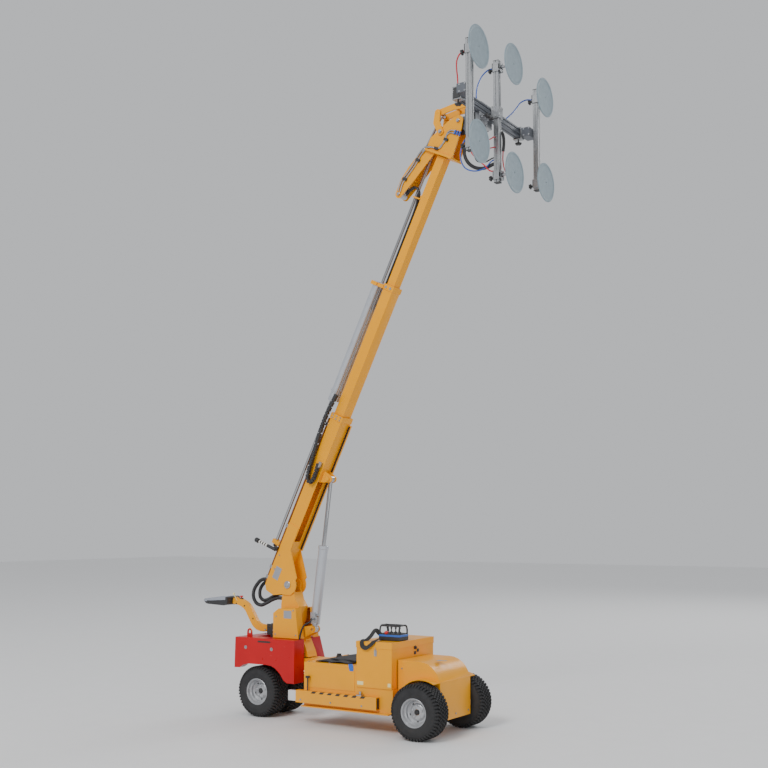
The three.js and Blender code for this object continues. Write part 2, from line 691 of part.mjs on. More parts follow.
function rotator() {
  const ring = rod([1217, 0, BEAM_MID_Z], [1262, 0, BEAM_MID_Z], 66, 24);
  const plate = box(1258, 1272, -150, 150, BEAM_MID_Z - 95, BEAM_MID_Z + 95);
  const rails = [
    box(1270, 1300, -150, 150, BEAM_MID_Z + 62, BEAM_MID_Z + 82),
    box(1270, 1300, -150, 150, BEAM_MID_Z - 82, BEAM_MID_Z - 62),
  ];
  return cut(join(ring, plate, ...rails), rod([1200, 0, BEAM_MID_Z], [1305, 0, BEAM_MID_Z], 28 + GAP, 20));
}

function crossBeam() {
  const tube = cut(
    box(CROSS_X - 30, CROSS_X + 30, -CROSS_HALF, CROSS_HALF, BEAM_MID_Z - 43, BEAM_MID_Z + 43),
    box(CROSS_X - 25, CROSS_X + 25, -CROSS_HALF - 5, CROSS_HALF + 5, BEAM_MID_Z - 38, BEAM_MID_Z + 38),
  );
  const shoe = cut(
    box(1302, CROSS_X - 28, -95, 95, BEAM_MID_Z - 98, BEAM_MID_Z + 98),
    box(1290, 1345, -110, 110, BEAM_MID_Z - 60, BEAM_MID_Z + 60),
  );
  const hooks = [
    box(1278, 1306, -95, 95, BEAM_MID_Z + 83, BEAM_MID_Z + 98),
    box(1278, 1306, -95, 95, BEAM_MID_Z - 98, BEAM_MID_Z - 83),
  ];
  const clamp = box(CROSS_X + 28, CROSS_X + 46.5, -40, 40, BEAM_MID_Z - 55, BEAM_MID_Z + 55);
  const cheeks = [
    box(CROSS_X + 28, CROSS_X + 98, -38, -25.4, BEAM_MID_Z - 50, BEAM_MID_Z + 50),
    box(CROSS_X + 28, CROSS_X + 98, 25.4, 38, BEAM_MID_Z - 50, BEAM_MID_Z + 50),
  ];
  const strap = box(CROSS_X + 97.6, CROSS_X + 105, -38, 38, BEAM_MID_Z - 50, BEAM_MID_Z + 50);
  return join(tube, shoe, ...hooks, clamp, ...cheeks, strap);
}

function outerBar(side) {
  const half = OUTER_SPACING / 2;
  const y = side * COLUMN_Y;
  const inner = side * (CROSS_HALF - 62);
  const outer = side * (CROSS_HALF - 2);
  const sleeve = cut(
    box(CROSS_X - 40, CROSS_X + 44, inner, outer, BEAM_MID_Z - 54, BEAM_MID_Z + 54),
    box(CROSS_X - 31, CROSS_X + 31, -700, 700, BEAM_MID_Z - 44, BEAM_MID_Z + 44),
  );
  const far = y + side * 30;
  const bracket = box(CROSS_X + 40, 1508, inner, far, BEAM_MID_Z - 40, BEAM_MID_Z + 40);
  const bar = box(1505, 1505 + BAR, y - BAR / 2, y + BAR / 2, FRAME_Z - half - 62, FRAME_Z + half + 88);
  const levels = [FRAME_Z - half, FRAME_Z + half];
  const sockets = levels.map((z) => box(1498, 1572, y - 33, y + 33, z - 38, z + 38));
  const bores = levels.map((z) => rod([1540, y, z], [1590, y, z], STEM_BORE, 16));
  return cut(join(sleeve, bracket, bar, ...sockets), ...bores);
}

function middleBar() {
  const half = MIDDLE_SPACING / 2;
  const bar = box(1432, 1432 + BAR, -BAR / 2, BAR / 2, FRAME_Z - half - 62, FRAME_Z + half + 62);
  const levels = [FRAME_Z - half, FRAME_Z + half];
  const sockets = levels.map((z) => box(1425, 1500, -33, 33, z - 38, z + 38));
  const bores = levels.map((z) => rod([1470, 0, z], [1520, 0, z], STEM_BORE, 16));
  return cut(join(bar, ...sockets), ...bores);
}

// A cup: rubber disc, hub and stem, turned about X.
function cup(y, z, stemX) {
  const back = CUP_FACE_X - 16;
  const profile = [[0, CUP_FACE_X - 5], [150, CUP_FACE_X - 5], [156, CUP_FACE_X], [CUP_R, CUP_FACE_X - 3],
    [CUP_R - 8, back + 4], [60, back - 10], [24, back - 16],
    [STEM_R, back - 20], [STEM_R, stemX], [0, stemX]];
  const points = profile.map(([radius, x]) => new THREE.Vector2(radius, x));
  const geometry = new THREE.LatheGeometry(points.reverse(), 18);
  geometry.rotateZ(-Math.PI / 2);
  return toGeometry(toSolid(geometry)).translate(0, y, z);
}

// Flexible hoses, each along points chosen by hand.
const HOSES = {
  vacuum_hose_right: {
    radius: 6,
    steps: 16,
    colour: RED_HOSE,
    route: [
      [1496.6, -620, 5500], [1480, -620, 5500], [1440, -620, 5488], [1408, -608, 5446],
      [1394, -586, 5390], [1390, -566, 5330], [1389, -558, 5272], [1389, -558, 5255.4],
    ],
  },
  vacuum_hose_middle: {
    radius: 6,
    steps: 18,
    colour: BLUE_HOSE,
    route: [
      [1423.6, 0, 5596], [1408, 0, 5596], [1378, -22, 5580], [1356, -66, 5530],
      [1352, -118, 5462], [1360, -172, 5390], [1376, -220, 5318], [1385, -240, 5262],
      [1385, -240, 5244.6],
    ],
  },
  vacuum_hose_left: {
    radius: 6,
    steps: 18,
    colour: BLUE_HOSE,
    route: [
      [1496.6, 620, 5518], [1480, 620, 5518], [1440, 604, 5520], [1408, 560, 5490],
      [1398, 500, 5428], [1394, 430, 5362], [1390, 360, 5306], [1388, 306, 5262],
      [1388, 306, 5244.6],
    ],
  },
  head_hose: {
    radius: 15,
    steps: 20,
    colour: BLACK,
    route: [
      [1328, -70, 5100], [1328, -70, 5084], [1300, -80, 5030], [1235, -96, 4970],
      [1196, -100, 4905], [1198, -92, 4842], [1226, -78, 4786], [1268, -52, 4752],
      [1320, -24, 4742], [1372, -6, 4752], [1412, 0, 4767], [1430.5, 0, 4768],
    ],
  },
  tail_hose: {
    radius: 17,
    steps: 24,
    colour: BLACK,
    route: [
      [-936, -45, 1223], [-950, -45, 1230], [-990, -46, 1233], [-1030, -46, 1220],
      [-1075, -46, 1179], [-1110, -46, 1124], [-1114, -46, 1065], [-1080, -46, 1010],
      [-1022, -45, 992], [-955, -44, 1015], [-897, -42, 1043], [-830, -40, 1064],
      [-779, -40, 1063], [-763, -40, 1060.6],
    ],
  },
};

function remoteControl() {
  const [x, y, z] = [505, -140, LID_Z1 + 0.5];
  const body = box(x - 105, x + 105, y - 75, y + 75, z, z + 62);
  const hoops = [];
  for (const dx of [-92, 92]) {
    hoops.push(rod([x + dx, y - 62, z + 55], [x + dx, y - 48, z + 128], 9, 8));
    hoops.push(rod([x + dx, y + 62, z + 55], [x + dx, y + 48, z + 128], 9, 8));
    hoops.push(rod([x + dx, y - 54, z + 124], [x + dx, y + 54, z + 124], 9, 8));
  }
  hoops.push(rod([x - 95, y - 48, z + 124], [x + 95, y - 48, z + 124], 9, 8));
  const sticks = [-50, 0, 50].map((dx) => pinZ(x + dx, y, 9, z + 60, z + 104, 8));
  return join(body, ...hoops, ...sticks);
}

// ---------------------------------------------------------------- assembly
function unit(from, to) {
  const length = Math.hypot(to[0] - from[0], to[1] - from[1]);
  return { length, axis: [(to[0] - from[0]) / length, (to[1] - from[1]) / length] };
}

const angle = THREE.MathUtils.degToRad(BOOM_ANGLE);

// Boom frame (u, v) to machine (x, z), and back.
function toMachine([u, v]) {
  const dx = u * Math.cos(angle) - v * Math.sin(angle);
  const dz = u * Math.sin(angle) + v * Math.cos(angle);
  return [PIVOT[0] + dx, PIVOT[1] + dz];
}
function toBoom([x, z]) {
  const dx = x - PIVOT[0];
  const dz = z - PIVOT[1];
  return [dx * Math.cos(angle) + dz * Math.sin(angle), -dx * Math.sin(angle) + dz * Math.cos(angle)];
}


add('chassis_frame', chassisFrame(), YELLOW);
add('mast', mast(), YELLOW);
add('mast_cover', mastCover(), YELLOW);
add('battery_box', batteryBox(), YELLOW);
add('battery_lid', batteryLid(), YELLOW);
add('battery_pack', batteryPack(), BLACK);
add('hydraulic_unit', hydraulicUnit(), STEEL);
add('front_cowl', frontCowl(), YELLOW);
add('counterweight', counterweight(), RED);
add('steering_yoke', steeringYoke(), BLACK);
add('tiller_arm', tillerArm(), YELLOW);
add('tiller_grip', tillerGrip(), BLACK);
add('drive_rocker', driveRocker(), BLACK);
add('stop_button', stopButton(), RED);
add('boom_pin', pinY(...PIVOT, PIVOT_R, -92, 92, 24), STEEL);
add('remote_control', remoteControl(), BLACK);

for (const [end, x, track] of [['front', AXLE_X, TRACK_FRONT], ['rear', -AXLE_X, TRACK_REAR]]) {
  for (const [hand, side] of [['right', -1], ['left', 1]]) {
    add(`tyre_${end}_${hand}`, tyre(side, track, x), RUBBER);
    add(`rim_${end}_${hand}`, rim(side, track, x), STEEL);
  }
}

for (const [hand, side] of [['right', -1], ['left', 1]]) {
  const y = side * 355.5;
  add(`outrigger_${hand}`, box(-442, 300, y - 20, y + 20, BEAM_Z0 + 8, BEAM_Z1 - 8), WHITE);
  add(`lock_knob_${hand}`, join(
    pinZ(BEAM_X0 + 111, side * 356, 6, BEAM_Z1 - 6.5, 420, 12),
    pinZ(BEAM_X0 + 111, side * 356, 20, 412, 430, 16),
  ), BLACK);
}

const lift = unit(FOOT, toMachine(LIFT_EYE));
add('lift_barrel', liftBarrel(lift.axis), GREY);
add('lift_rod', liftRod(lift.axis, lift.length), CHROME);

const boom = new THREE.Group();
boom.position.set(PIVOT[0], 0, PIVOT[1]);
boom.rotation.y = -angle;
machine.add(boom);
add('boom_base', boomBase(), YELLOW, boom);
add('boom_middle', boomMiddle(), YELLOW, boom);
add('boom_tip', boomTip(), YELLOW, boom);
add('extend_barrel', extendBarrel(), GREY, boom);
add('extend_rod_lower', extendRodLower(), CHROME, boom);
add('extend_rod_upper', extendRodUpper(), CHROME, boom);
add('signal_lamp', signalLamp(), BLACK, boom);
add('hose_chain', hoseChain(), BLACK, boom);
add('head_knuckle', headKnuckle(toBoom(CARRIER_PIVOT)), YELLOW, boom);
const tilt = unit(TILT_FOOT, ROCKER_B);
add('tilt_barrel', tiltBarrel(tilt.axis), GREY, boom);
add('tilt_rod', tiltRod(tilt.axis, tilt.length), CHROME, boom);
add('rocker_link', rockerLink(), YELLOW, boom);
add('top_link', topLink(ROCKER_B, toBoom(LINK_C)), YELLOW, boom);

add('head_carrier', headCarrier(LINK_C), DARK_ALUMINIUM);
add('rotator', rotator(), BLACK);
add('cross_beam', crossBeam(), DARK_ALUMINIUM);
add('bar_right', outerBar(-1), ALUMINIUM);
add('bar_middle', middleBar(), ALUMINIUM);
add('bar_left', outerBar(1), ALUMINIUM);
const COLUMNS = [
  ['right', -COLUMN_Y, OUTER_SPACING, 1556],
  ['middle', 0, MIDDLE_SPACING, 1484],
  ['left', COLUMN_Y, OUTER_SPACING, 1556],
];
for (const [column, y, spacing, stemX] of COLUMNS) {
  add(`cup_${column}_upper`, cup(y, FRAME_Z + spacing / 2, stemX), CUP_RUBBER);
  add(`cup_${column}_lower`, cup(y, FRAME_Z - spacing / 2, stemX), CUP_RUBBER);
}

for (const [name, { radius, steps, colour, route }] of Object.entries(HOSES)) {
  add(name, hose(route, radius, steps), colour);
}

export default machine;
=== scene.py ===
"""Looks of a compact outdoor glazing robot: a tiller-steered vacuum lifter with a telescopic boom.

Everything is in metres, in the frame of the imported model: +X towards the cups, +Z up.
"""
import math

import bmesh
import bpy
from mathutils import Matrix, Vector


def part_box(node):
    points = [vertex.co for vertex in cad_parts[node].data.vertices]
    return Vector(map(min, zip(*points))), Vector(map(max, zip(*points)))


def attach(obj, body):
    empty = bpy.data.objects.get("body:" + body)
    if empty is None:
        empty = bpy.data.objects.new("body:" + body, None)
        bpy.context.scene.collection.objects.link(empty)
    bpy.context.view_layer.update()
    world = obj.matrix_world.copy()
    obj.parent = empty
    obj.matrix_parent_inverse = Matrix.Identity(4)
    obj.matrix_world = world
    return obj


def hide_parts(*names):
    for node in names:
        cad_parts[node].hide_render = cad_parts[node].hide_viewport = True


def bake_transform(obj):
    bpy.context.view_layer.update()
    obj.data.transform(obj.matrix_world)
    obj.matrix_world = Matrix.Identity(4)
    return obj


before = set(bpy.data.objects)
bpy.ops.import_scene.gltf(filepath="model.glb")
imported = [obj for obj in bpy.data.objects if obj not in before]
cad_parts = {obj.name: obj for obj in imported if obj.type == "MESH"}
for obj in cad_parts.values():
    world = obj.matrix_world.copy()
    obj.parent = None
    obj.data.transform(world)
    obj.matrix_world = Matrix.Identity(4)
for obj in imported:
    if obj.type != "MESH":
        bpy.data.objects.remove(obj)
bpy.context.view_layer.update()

# ---------------------------------------------------------------- places
CENTRE_SHIFT = 0.046           # from the point midway between the axles to the row's origin
PIVOT_X, PIVOT_Z = -0.686, 1.19
BOOM_ANGLE = math.radians(64)
AXLE_X = {"front": 0.902, "rear": -0.902}
TRACK = {"front": 0.373, "rear": 0.146}
TYRE_R = 0.2285
COLUMNS = {"right": -0.62, "middle": 0.0, "left": 0.62}
FRAME_Z = 5.126                # middle height of the cup frame
BEAM_X, BEAM_Z = 1.385, 5.2    # middle line of the cross beam
SIDES = {"right": -1, "left": 1}
FORWARD, BACKWARD = (1, 0, 0), (-1, 0, 0)
NEAR, FAR = (0, -1, 0), (0, 1, 0)
UP, DOWN = (0, 0, 1), (0, 0, -1)


def at(x, y, z):
    """A point laid out from midway between the axles, in the row frame."""
    return Vector((x + CENTRE_SHIFT, y, z))


MACHINE = Matrix.Translation((CENTRE_SHIFT, 0, 0))
BOOM = Matrix.Translation(at(PIVOT_X, 0, PIVOT_Z)) @ Matrix.Rotation(-BOOM_ANGLE, 4, "Y")

# ---------------------------------------------------------------- camera
CAMERA_PLACE = (5.6284, -8.1089, 1.7179)
CAMERA_PITCH = math.radians(4.323)
CAMERA_HEADING = math.radians(32.998)
FRAME_WIDTH = 36
FOCAL_LENGTH = 51.567
VERTICAL_SHIFT = 0.078

camera = bpy.data.objects.new("camera", bpy.data.cameras.new("camera"))
bpy.context.scene.collection.objects.link(camera)
camera.location = CAMERA_PLACE
camera.rotation_euler = (math.pi / 2 + CAMERA_PITCH, 0, CAMERA_HEADING)
camera.data.sensor_width = FRAME_WIDTH
camera.data.lens = FOCAL_LENGTH
camera.data.shift_y = VERTICAL_SHIFT
camera.data.clip_end = 100
bpy.context.scene.camera = camera

# ---------------------------------------------------------------- materials
COAT_ROUGHNESS = 0.12
NOISE_LOW, NOISE_HIGH = 0.3, 0.7         # most values of a noise texture lie between these
CHIP_SCALE, CHIP_LOW, CHIP_HIGH = 38, 0.69, 0.76
CHIP_MASK = (0.7, 0.7, 0.7, 1)           # how far a chip's own colour shows
DUST = (0.3, 0.26, 0.2)
DUST_TOP, DUST_SHARE, DUST_SCALE = 0.45, 0.28, 14
BUMP_DEPTH = 0.002


def scaled(colour, factor):
    return (*[min(1.0, c * factor) for c in colour], 1.0)


def finish_of(name, colour, roughness, metallic=0.0, coat=0.0, tone=0.06, tone_scale=5.0, grain=0.05,
              grain_scale=260.0, stretch=(1, 1, 1), spread=0.07, specular=0.5, worn=None, dust=None):
    """A procedural material: patchy tone, varied roughness, fine bump, sparse chips and dust low down."""
    made = bpy.data.materials.new(name)
    made.use_nodes = True
    nodes, links = made.node_tree.nodes, made.node_tree.links
    shader = nodes["Principled BSDF"]
    shader.inputs["Metallic"].default_value = metallic
    shader.inputs["Coat Weight"].default_value = coat
    shader.inputs["Coat Roughness"].default_value = COAT_ROUGHNESS
    shader.inputs["Specular IOR Level"].default_value = specular

    place = nodes.new("ShaderNodeTexCoord")
    mapping = nodes.new("ShaderNodeMapping")
    mapping.inputs["Scale"].default_value = stretch
    links.new(place.outputs["Object"], mapping.inputs["Vector"])

    def noise(scale, detail):
        node = nodes.new("ShaderNodeTexNoise")
        node.inputs["Scale"].default_value = scale
        node.inputs["Detail"].default_value = detail
        links.new(mapping.outputs["Vector"], node.inputs["Vector"])
        return node.outputs["Fac"]

    def ramp(value, low, high, low_colour, high_colour):
        node = nodes.new("ShaderNodeValToRGB")
        first, last = node.color_ramp.elements
        first.position, last.position = low, high
        first.color, last.color = low_colour, high_colour
        links.new(value, node.inputs["Fac"])
        return node.outputs["Color"]

    def remap(value, from_min, from_max, to_min, to_max):
        node = nodes.new("ShaderNodeMapRange")
        numbers = (from_min, from_max, to_min, to_max)
        for socket, number in zip(("From Min", "From Max", "To Min", "To Max"), numbers):
            node.inputs[socket].default_value = number
        links.new(value, node.inputs["Value"])
        return node.outputs["Result"]

    def blended(factor, first, second):
        node = nodes.new("ShaderNodeMix")
        node.data_type = "RGBA"
        links.new(factor, node.inputs[0])
        links.new(first, node.inputs[6])
        node.inputs[7].default_value = second
        return node.outputs[2]

    darker, lighter = scaled(colour, 1 - tone), scaled(colour, 1 + tone)
    shade = ramp(noise(tone_scale, 4), NOISE_LOW, NOISE_HIGH, darker, lighter)
    if worn:
        chips = ramp(noise(CHIP_SCALE, 6), CHIP_LOW, CHIP_HIGH, (0, 0, 0, 1), CHIP_MASK)
        shade = blended(chips, shade, (*worn, 1))
    if dust:
        height = nodes.new("ShaderNodeSeparateXYZ")
        links.new(place.outputs["Object"], height.inputs[0])
        patchy = nodes.new("ShaderNodeMath")
        patchy.operation = "MULTIPLY"
        links.new(remap(height.outputs["Z"], DUST_TOP, 0.0, 0.0, DUST_SHARE), patchy.inputs[0])
        links.new(noise(DUST_SCALE, 5), patchy.inputs[1])
        shade = blended(patchy.outputs[0], shade, (*dust, 1))
    links.new(shade, shader.inputs["Base Color"])

    smoothest, roughest = max(0.02, roughness - spread), min(1.0, roughness + spread)
    rough = remap(noise(tone_scale * 4, 5), NOISE_LOW, NOISE_HIGH, smoothest, roughest)
    links.new(rough, shader.inputs["Roughness"])

    bump = nodes.new("ShaderNodeBump")
    bump.inputs["Strength"].default_value = grain
    bump.inputs["Distance"].default_value = BUMP_DEPTH
    links.new(noise(grain_scale, 2), bump.inputs["Height"])
    links.new(bump.outputs["Normal"], shader.inputs["Normal"])
    return made


# name: colour, roughness, whatever else finish_of takes
FINISHES = {
    "paint_yellow": ((0.93, 0.385, 0.0), 0.36,
                     dict(coat=0.1, tone=0.03, specular=0.28, worn=(0.8, 0.42, 0.1), dust=DUST)),
    "paint_red": ((0.54, 0.002, 0.006), 0.34,
                  dict(coat=0.12, tone=0.05, specular=0.28, worn=(0.6, 0.06, 0.05))),
    "paint_black": ((0.028, 0.027, 0.027), 0.45, dict(coat=0.1, tone=0.2, worn=(0.2, 0.19, 0.18), dust=DUST)),
    "tyre": ((0.02, 0.02, 0.022), 0.72,
             dict(tone=0.25, tone_scale=22, grain=0.35, grain_scale=420, dust=(0.07, 0.065, 0.055))),
    "rim": ((0.5, 0.51, 0.53), 0.36,
            dict(metallic=0.6, tone=0.08, grain=0.08, worn=(0.8, 0.8, 0.8), dust=DUST)),
    "chrome_rod": ((0.42, 0.42, 0.43), 0.14,
                   dict(metallic=1.0, tone=0.03, grain=0.02, stretch=(12, 12, 1), spread=0.04)),
    "cylinder_grey": ((0.5, 0.52, 0.56), 0.34,
                      dict(metallic=0.5, coat=0.2, tone=0.04, worn=(0.4, 0.41, 0.44))),
    "steel": ((0.42, 0.43, 0.45), 0.32, dict(metallic=0.9, tone=0.12, grain=0.1, grain_scale=500)),
    "white_steel": ((0.7, 0.7, 0.7), 0.38, dict(coat=0.2, tone=0.05, worn=(0.5, 0.5, 0.5), dust=DUST)),
    "aluminium_profile": ((0.4, 0.41, 0.42), 0.3,
                          dict(metallic=0.92, tone=0.06, tone_scale=30, grain=0.06, stretch=(8, 8, 0.4))),
    "dark_aluminium": ((0.13, 0.14, 0.16), 0.36,
                       dict(metallic=0.6, tone=0.1, tone_scale=30, grain=0.06, stretch=(8, 0.4, 8))),
    "cup_rubber": ((0.275, 0.355, 0.4), 0.55, dict(tone=0.07, tone_scale=26, grain=0.22, grain_scale=700)),
    "black_plastic": ((0.03, 0.03, 0.032), 0.5, dict(tone=0.15, grain=0.25, grain_scale=650)),
    "grey_plastic": ((0.33, 0.35, 0.4), 0.42, dict(tone=0.06, grain=0.15, grain_scale=650)),
    "red_plastic": ((0.6, 0.015, 0.02), 0.25, dict(coat=0.3, tone=0.05)),
    "blue_plastic": ((0.02, 0.12, 0.55), 0.32, dict(coat=0.2, tone=0.06)),
    "battery_case": ((0.03, 0.03, 0.035), 0.5, dict(tone=0.1, grain=0.2)),
    "hose_black": ((0.022, 0.022, 0.024), 0.42, dict(tone=0.2, grain=0.2, grain_scale=500)),
    "hose_red": ((0.62, 0.02, 0.035), 0.25, dict(coat=0.3, tone=0.05)),
    "hose_blue": ((0.03, 0.09, 0.42), 0.25, dict(coat=0.3, tone=0.05)),
    "plate_pale": ((0.3, 0.31, 0.34), 0.4, dict(tone=0.05)),
    "plate_yellow": ((0.92, 0.8, 0.35), 0.4, dict(tone=0.04)),
    "stripe_black": ((0.03, 0.028, 0.025), 0.45, dict(tone=0.15)),
    "mat_rubber": ((0.045, 0.045, 0.05), 0.85, dict(tone=0.25, grain=0.5, grain_scale=350)),
    "webbing": ((0.03, 0.03, 0.03), 0.8, dict(tone=0.2, grain=0.6, grain_scale=900)),
    "pipe_copper": ((0.28, 0.1, 0.045), 0.35, dict(metallic=0.7, tone=0.12)),
    "lamp_lens": ((0.8, 0.78, 0.72), 0.18, dict(coat=0.5, tone=0.04)),
}
MATERIALS = {name: finish_of(name, colour, roughness, **rest)
             for name, (colour, roughness, rest) in FINISHES.items()}


# ---------------------------------------------------------------- pieces
RIB_PITCH = 0.006
EDGE_ANGLE = math.radians(34)  # a sharper edge than this is rounded


def settle(piece, body, finish, smooth=32.0, replaces=()):
    """Gives a piece its material, smooth shading and body, and hides the CAD nodes that it stands for."""
    piece.data.materials.clear()
    piece.data.materials.append(MATERIALS[finish])
    piece.data.polygons.foreach_set("use_smooth", [True] * len(piece.data.polygons))
    piece.data.set_sharp_from_angle(angle=math.radians(smooth))
    if body:
        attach(piece, body)
    if replaces:
        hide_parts(*replaces)
    return piece


def place_mesh(name, mesh, bevel):
    """A new object of this mesh, with a rounded edge of this width."""
    piece = bpy.data.objects.new(name, mesh)
    bpy.context.scene.collection.objects.link(piece)
    if bevel:
        edges = piece.modifiers.new("edges", "BEVEL")
        edges.width = bevel
        edges.segments = 2
        edges.limit_method = "ANGLE"
        edges.angle_limit = EDGE_ANGLE
        edges.use_clamp_overlap = True
    return piece


def skin(node, body, finish, bevel):
    """A finer copy of a CAD node: clean faces and rounded edges."""
    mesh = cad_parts[node].data.copy()
    work = bmesh.new()
    work.from_mesh(mesh)
    bmesh.ops.remove_doubles(work, verts=work.verts, dist=2e-5)
    bmesh.ops.dissolve_limit(work, angle_limit=math.radians(0.6), verts=work.verts, edges=work.edges)
    work.to_mesh(mesh)
    work.free()
    return settle(place_mesh("skin_" + node, mesh, bevel), body, finish, replaces=[node])


def circle(centre, across, other, radius, sides):
    """Points round a centre, in the plane of two square directions."""
    turns = [2 * math.pi * i / sides for i in range(sides)]
    return [centre + (across * math.cos(turn) + other * math.sin(turn)) * radius for turn in turns]


class Shape:
    """Closed shapes collected into one mesh, each placed by the shape's matrix."""

    def __init__(self, placed=MACHINE):
        self.mesh = bmesh.new()
        self.placed = placed

    def loft(self, rings, closed=False):
        """Skins rings of points; the ends are capped unless the rings close on themselves."""
        rows = [[self.mesh.verts.new(self.placed @ Vector(p)) for p in ring] for ring in rings]
        count = len(rows[0])
        following = rows[1:] + rows[:1] if closed else rows[1:]
        for a, b in zip(rows, following):
            for i in range(count):
                j = (i + 1) % count
                self.mesh.faces.new((a[i], a[j], b[j], b[i]))
        if not closed:
            self.mesh.faces.new(rows[0][::-1])
            self.mesh.faces.new(rows[-1])
        return self

    def box(self, low, high):
        (x0, y0, z0), (x1, y1, z1) = low, high
        ring = [(x0, y0), (x1, y0), (x1, y1), (x0, y1)]
        return self.loft([[(x, y, z) for x, y in ring] for z in (z0, z1)])

    def boxes(self, *corners):
        for low, high in corners:
            self.box(low, high)
        return self

    def prism(self, outline, y0, y1):
        """An outline in the XZ plane, from y0 to y1."""
        return self.loft([[(x, y, z) for x, z in outline] for y in (y0, y1)])

    def turned(self, start, axis, profile, sides=40, closed=False):
        """A profile of (radius, distance along the axis) turned about the axis."""
        start, axis = Vector(start), Vector(axis).normalized()
        across = axis.orthogonal().normalized()
        other = axis.cross(across)
        rings = [circle(start + axis * along, across, other, radius, sides) for radius, along in profile]
        return self.loft(rings, closed)

    def rod(self, start, end, radius, chamfer=0.001, sides=32):
        start, end = Vector(start), Vector(end)
        length = (end - start).length
        inner = radius - chamfer
        profile = [(inner, 0), (radius, chamfer), (radius, length - chamfer), (inner, length)]
        return self.turned(start, end - start, profile, sides)

    def bolt(self, point, axis, size=0.008):
        """A washer and a hexagon head that stand on a face."""
        self.turned(point, axis, [(size * 1.25, 0), (size * 1.25, size * 0.22)], 24)
        head = [(size * 0.98, 0), (size * 0.98, size * 0.75), (size * 0.8, size * 0.88)]
        return self.turned(point, axis, head, 6)

    def bolt_pair(self, x, out, z, size):
        """The same bolt on the near and the far face."""
        self.bolt((x, -out, z), NEAR, size)
        return self.bolt((x, out, z), FAR, size)

    def tube(self, points, radius, sides=14, ribs=False):
        """A round tube along points, carried so that it doesn't twist. Ribs make it a corrugated conduit."""
        points = evenly(points, RIB_PITCH / 4) if ribs else [Vector(p) for p in points]
        rings = []
        across = (points[1] - points[0]).orthogonal().normalized()
        for i, point in enumerate(points):
            ahead = (points[min(i + 1, len(points) - 1)] - points[max(i - 1, 0)]).normalized()
            across = (across - ahead * across.dot(ahead)).normalized()
            reach = radius * 0.9 if ribs and i % 4 > 1 else radius
            rings.append(circle(point, across, ahead.cross(across), reach, sides))
        return self.loft(rings)

    def done(self, name, body, finish, bevel=0.0, smooth=32.0, replaces=()):
        bmesh.ops.recalc_face_normals(self.mesh, faces=self.mesh.faces)
        mesh = bpy.data.meshes.new(name)
        self.mesh.to_mesh(mesh)
        self.mesh.free()
        return settle(place_mesh(name, mesh, bevel), body, finish, smooth, replaces)


def smooth_path(points, steps):
    """A centripetal Catmull-Rom curve through the points, with steps samples in each span."""
    points = [Vector(p) for p in points]
    padded = [points[0] * 2 - points[1], *points, points[-1] * 2 - points[-2]]
    samples = []
    for a, b, c, d in zip(padded, padded[1:], padded[2:], padded[3:]):
        knots = [0.0]
        for p, q in ((a, b), (b, c), (c, d)):
            knots.append(knots[-1] + max((q - p).length, 1e-6) ** 0.5)
        t0, t1, t2, t3 = knots
        for i in range(steps):
            t = t1 + (t2 - t1) * i / steps
            ab = a * ((t1 - t) / (t1 - t0)) + b * ((t - t0) / (t1 - t0))
            bc = b * ((t2 - t) / (t2 - t1)) + c * ((t - t1) / (t2 - t1))
            cd = c * ((t3 - t) / (t3 - t2)) + d * ((t - t2) / (t3 - t2))
            abc = ab * ((t2 - t) / (t2 - t0)) + bc * ((t - t0) / (t2 - t0))
            bcd = bc * ((t3 - t) / (t3 - t1)) + cd * ((t - t1) / (t3 - t1))
            samples.append(abc * ((t2 - t) / (t2 - t1)) + bcd * ((t - t1) / (t2 - t1)))
    samples.append(points[-1])
    return samples


def evenly(path, step):
    """Points at equal steps along a path."""
    spots, goal, travelled = [path[0]], step, 0.0
    for p, q in zip(path, path[1:]):
        stretch = (q - p).length
        while travelled + stretch >= goal:
            spots.append(p.lerp(q, (goal - travelled) / stretch))
            goal += step
        travelled += stretch
    return spots


# ---------------------------------------------------------------- hoses
def hose(name, finish, bodies, radius, points, steps=6, sides=14, ribs=False, node=None):
    """A hose along a smooth curve through its points, between two fixed ends.

    With one body it rides on that body; between two bodies it rides on neither and stays in place.
    """
    path = smooth_path([at(*p) for p in points], steps)
    shape = Shape(Matrix()).tube(path, radius, sides, ribs)
    rides_on = bodies[0] if len(bodies) == 1 else None
    piece = shape.done(name, rides_on, finish, smooth=60, replaces=[node] if node else [])
    if not rides_on:
        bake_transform(piece)


def thin_hoses(hoses, radius):
    """Hoses from the cross beam to the middle bar."""
    for name, (finish, points) in hoses.items():
        hose(name, finish, ("cross_beam", "bar_middle"), radius, points, steps=8, sides=10)


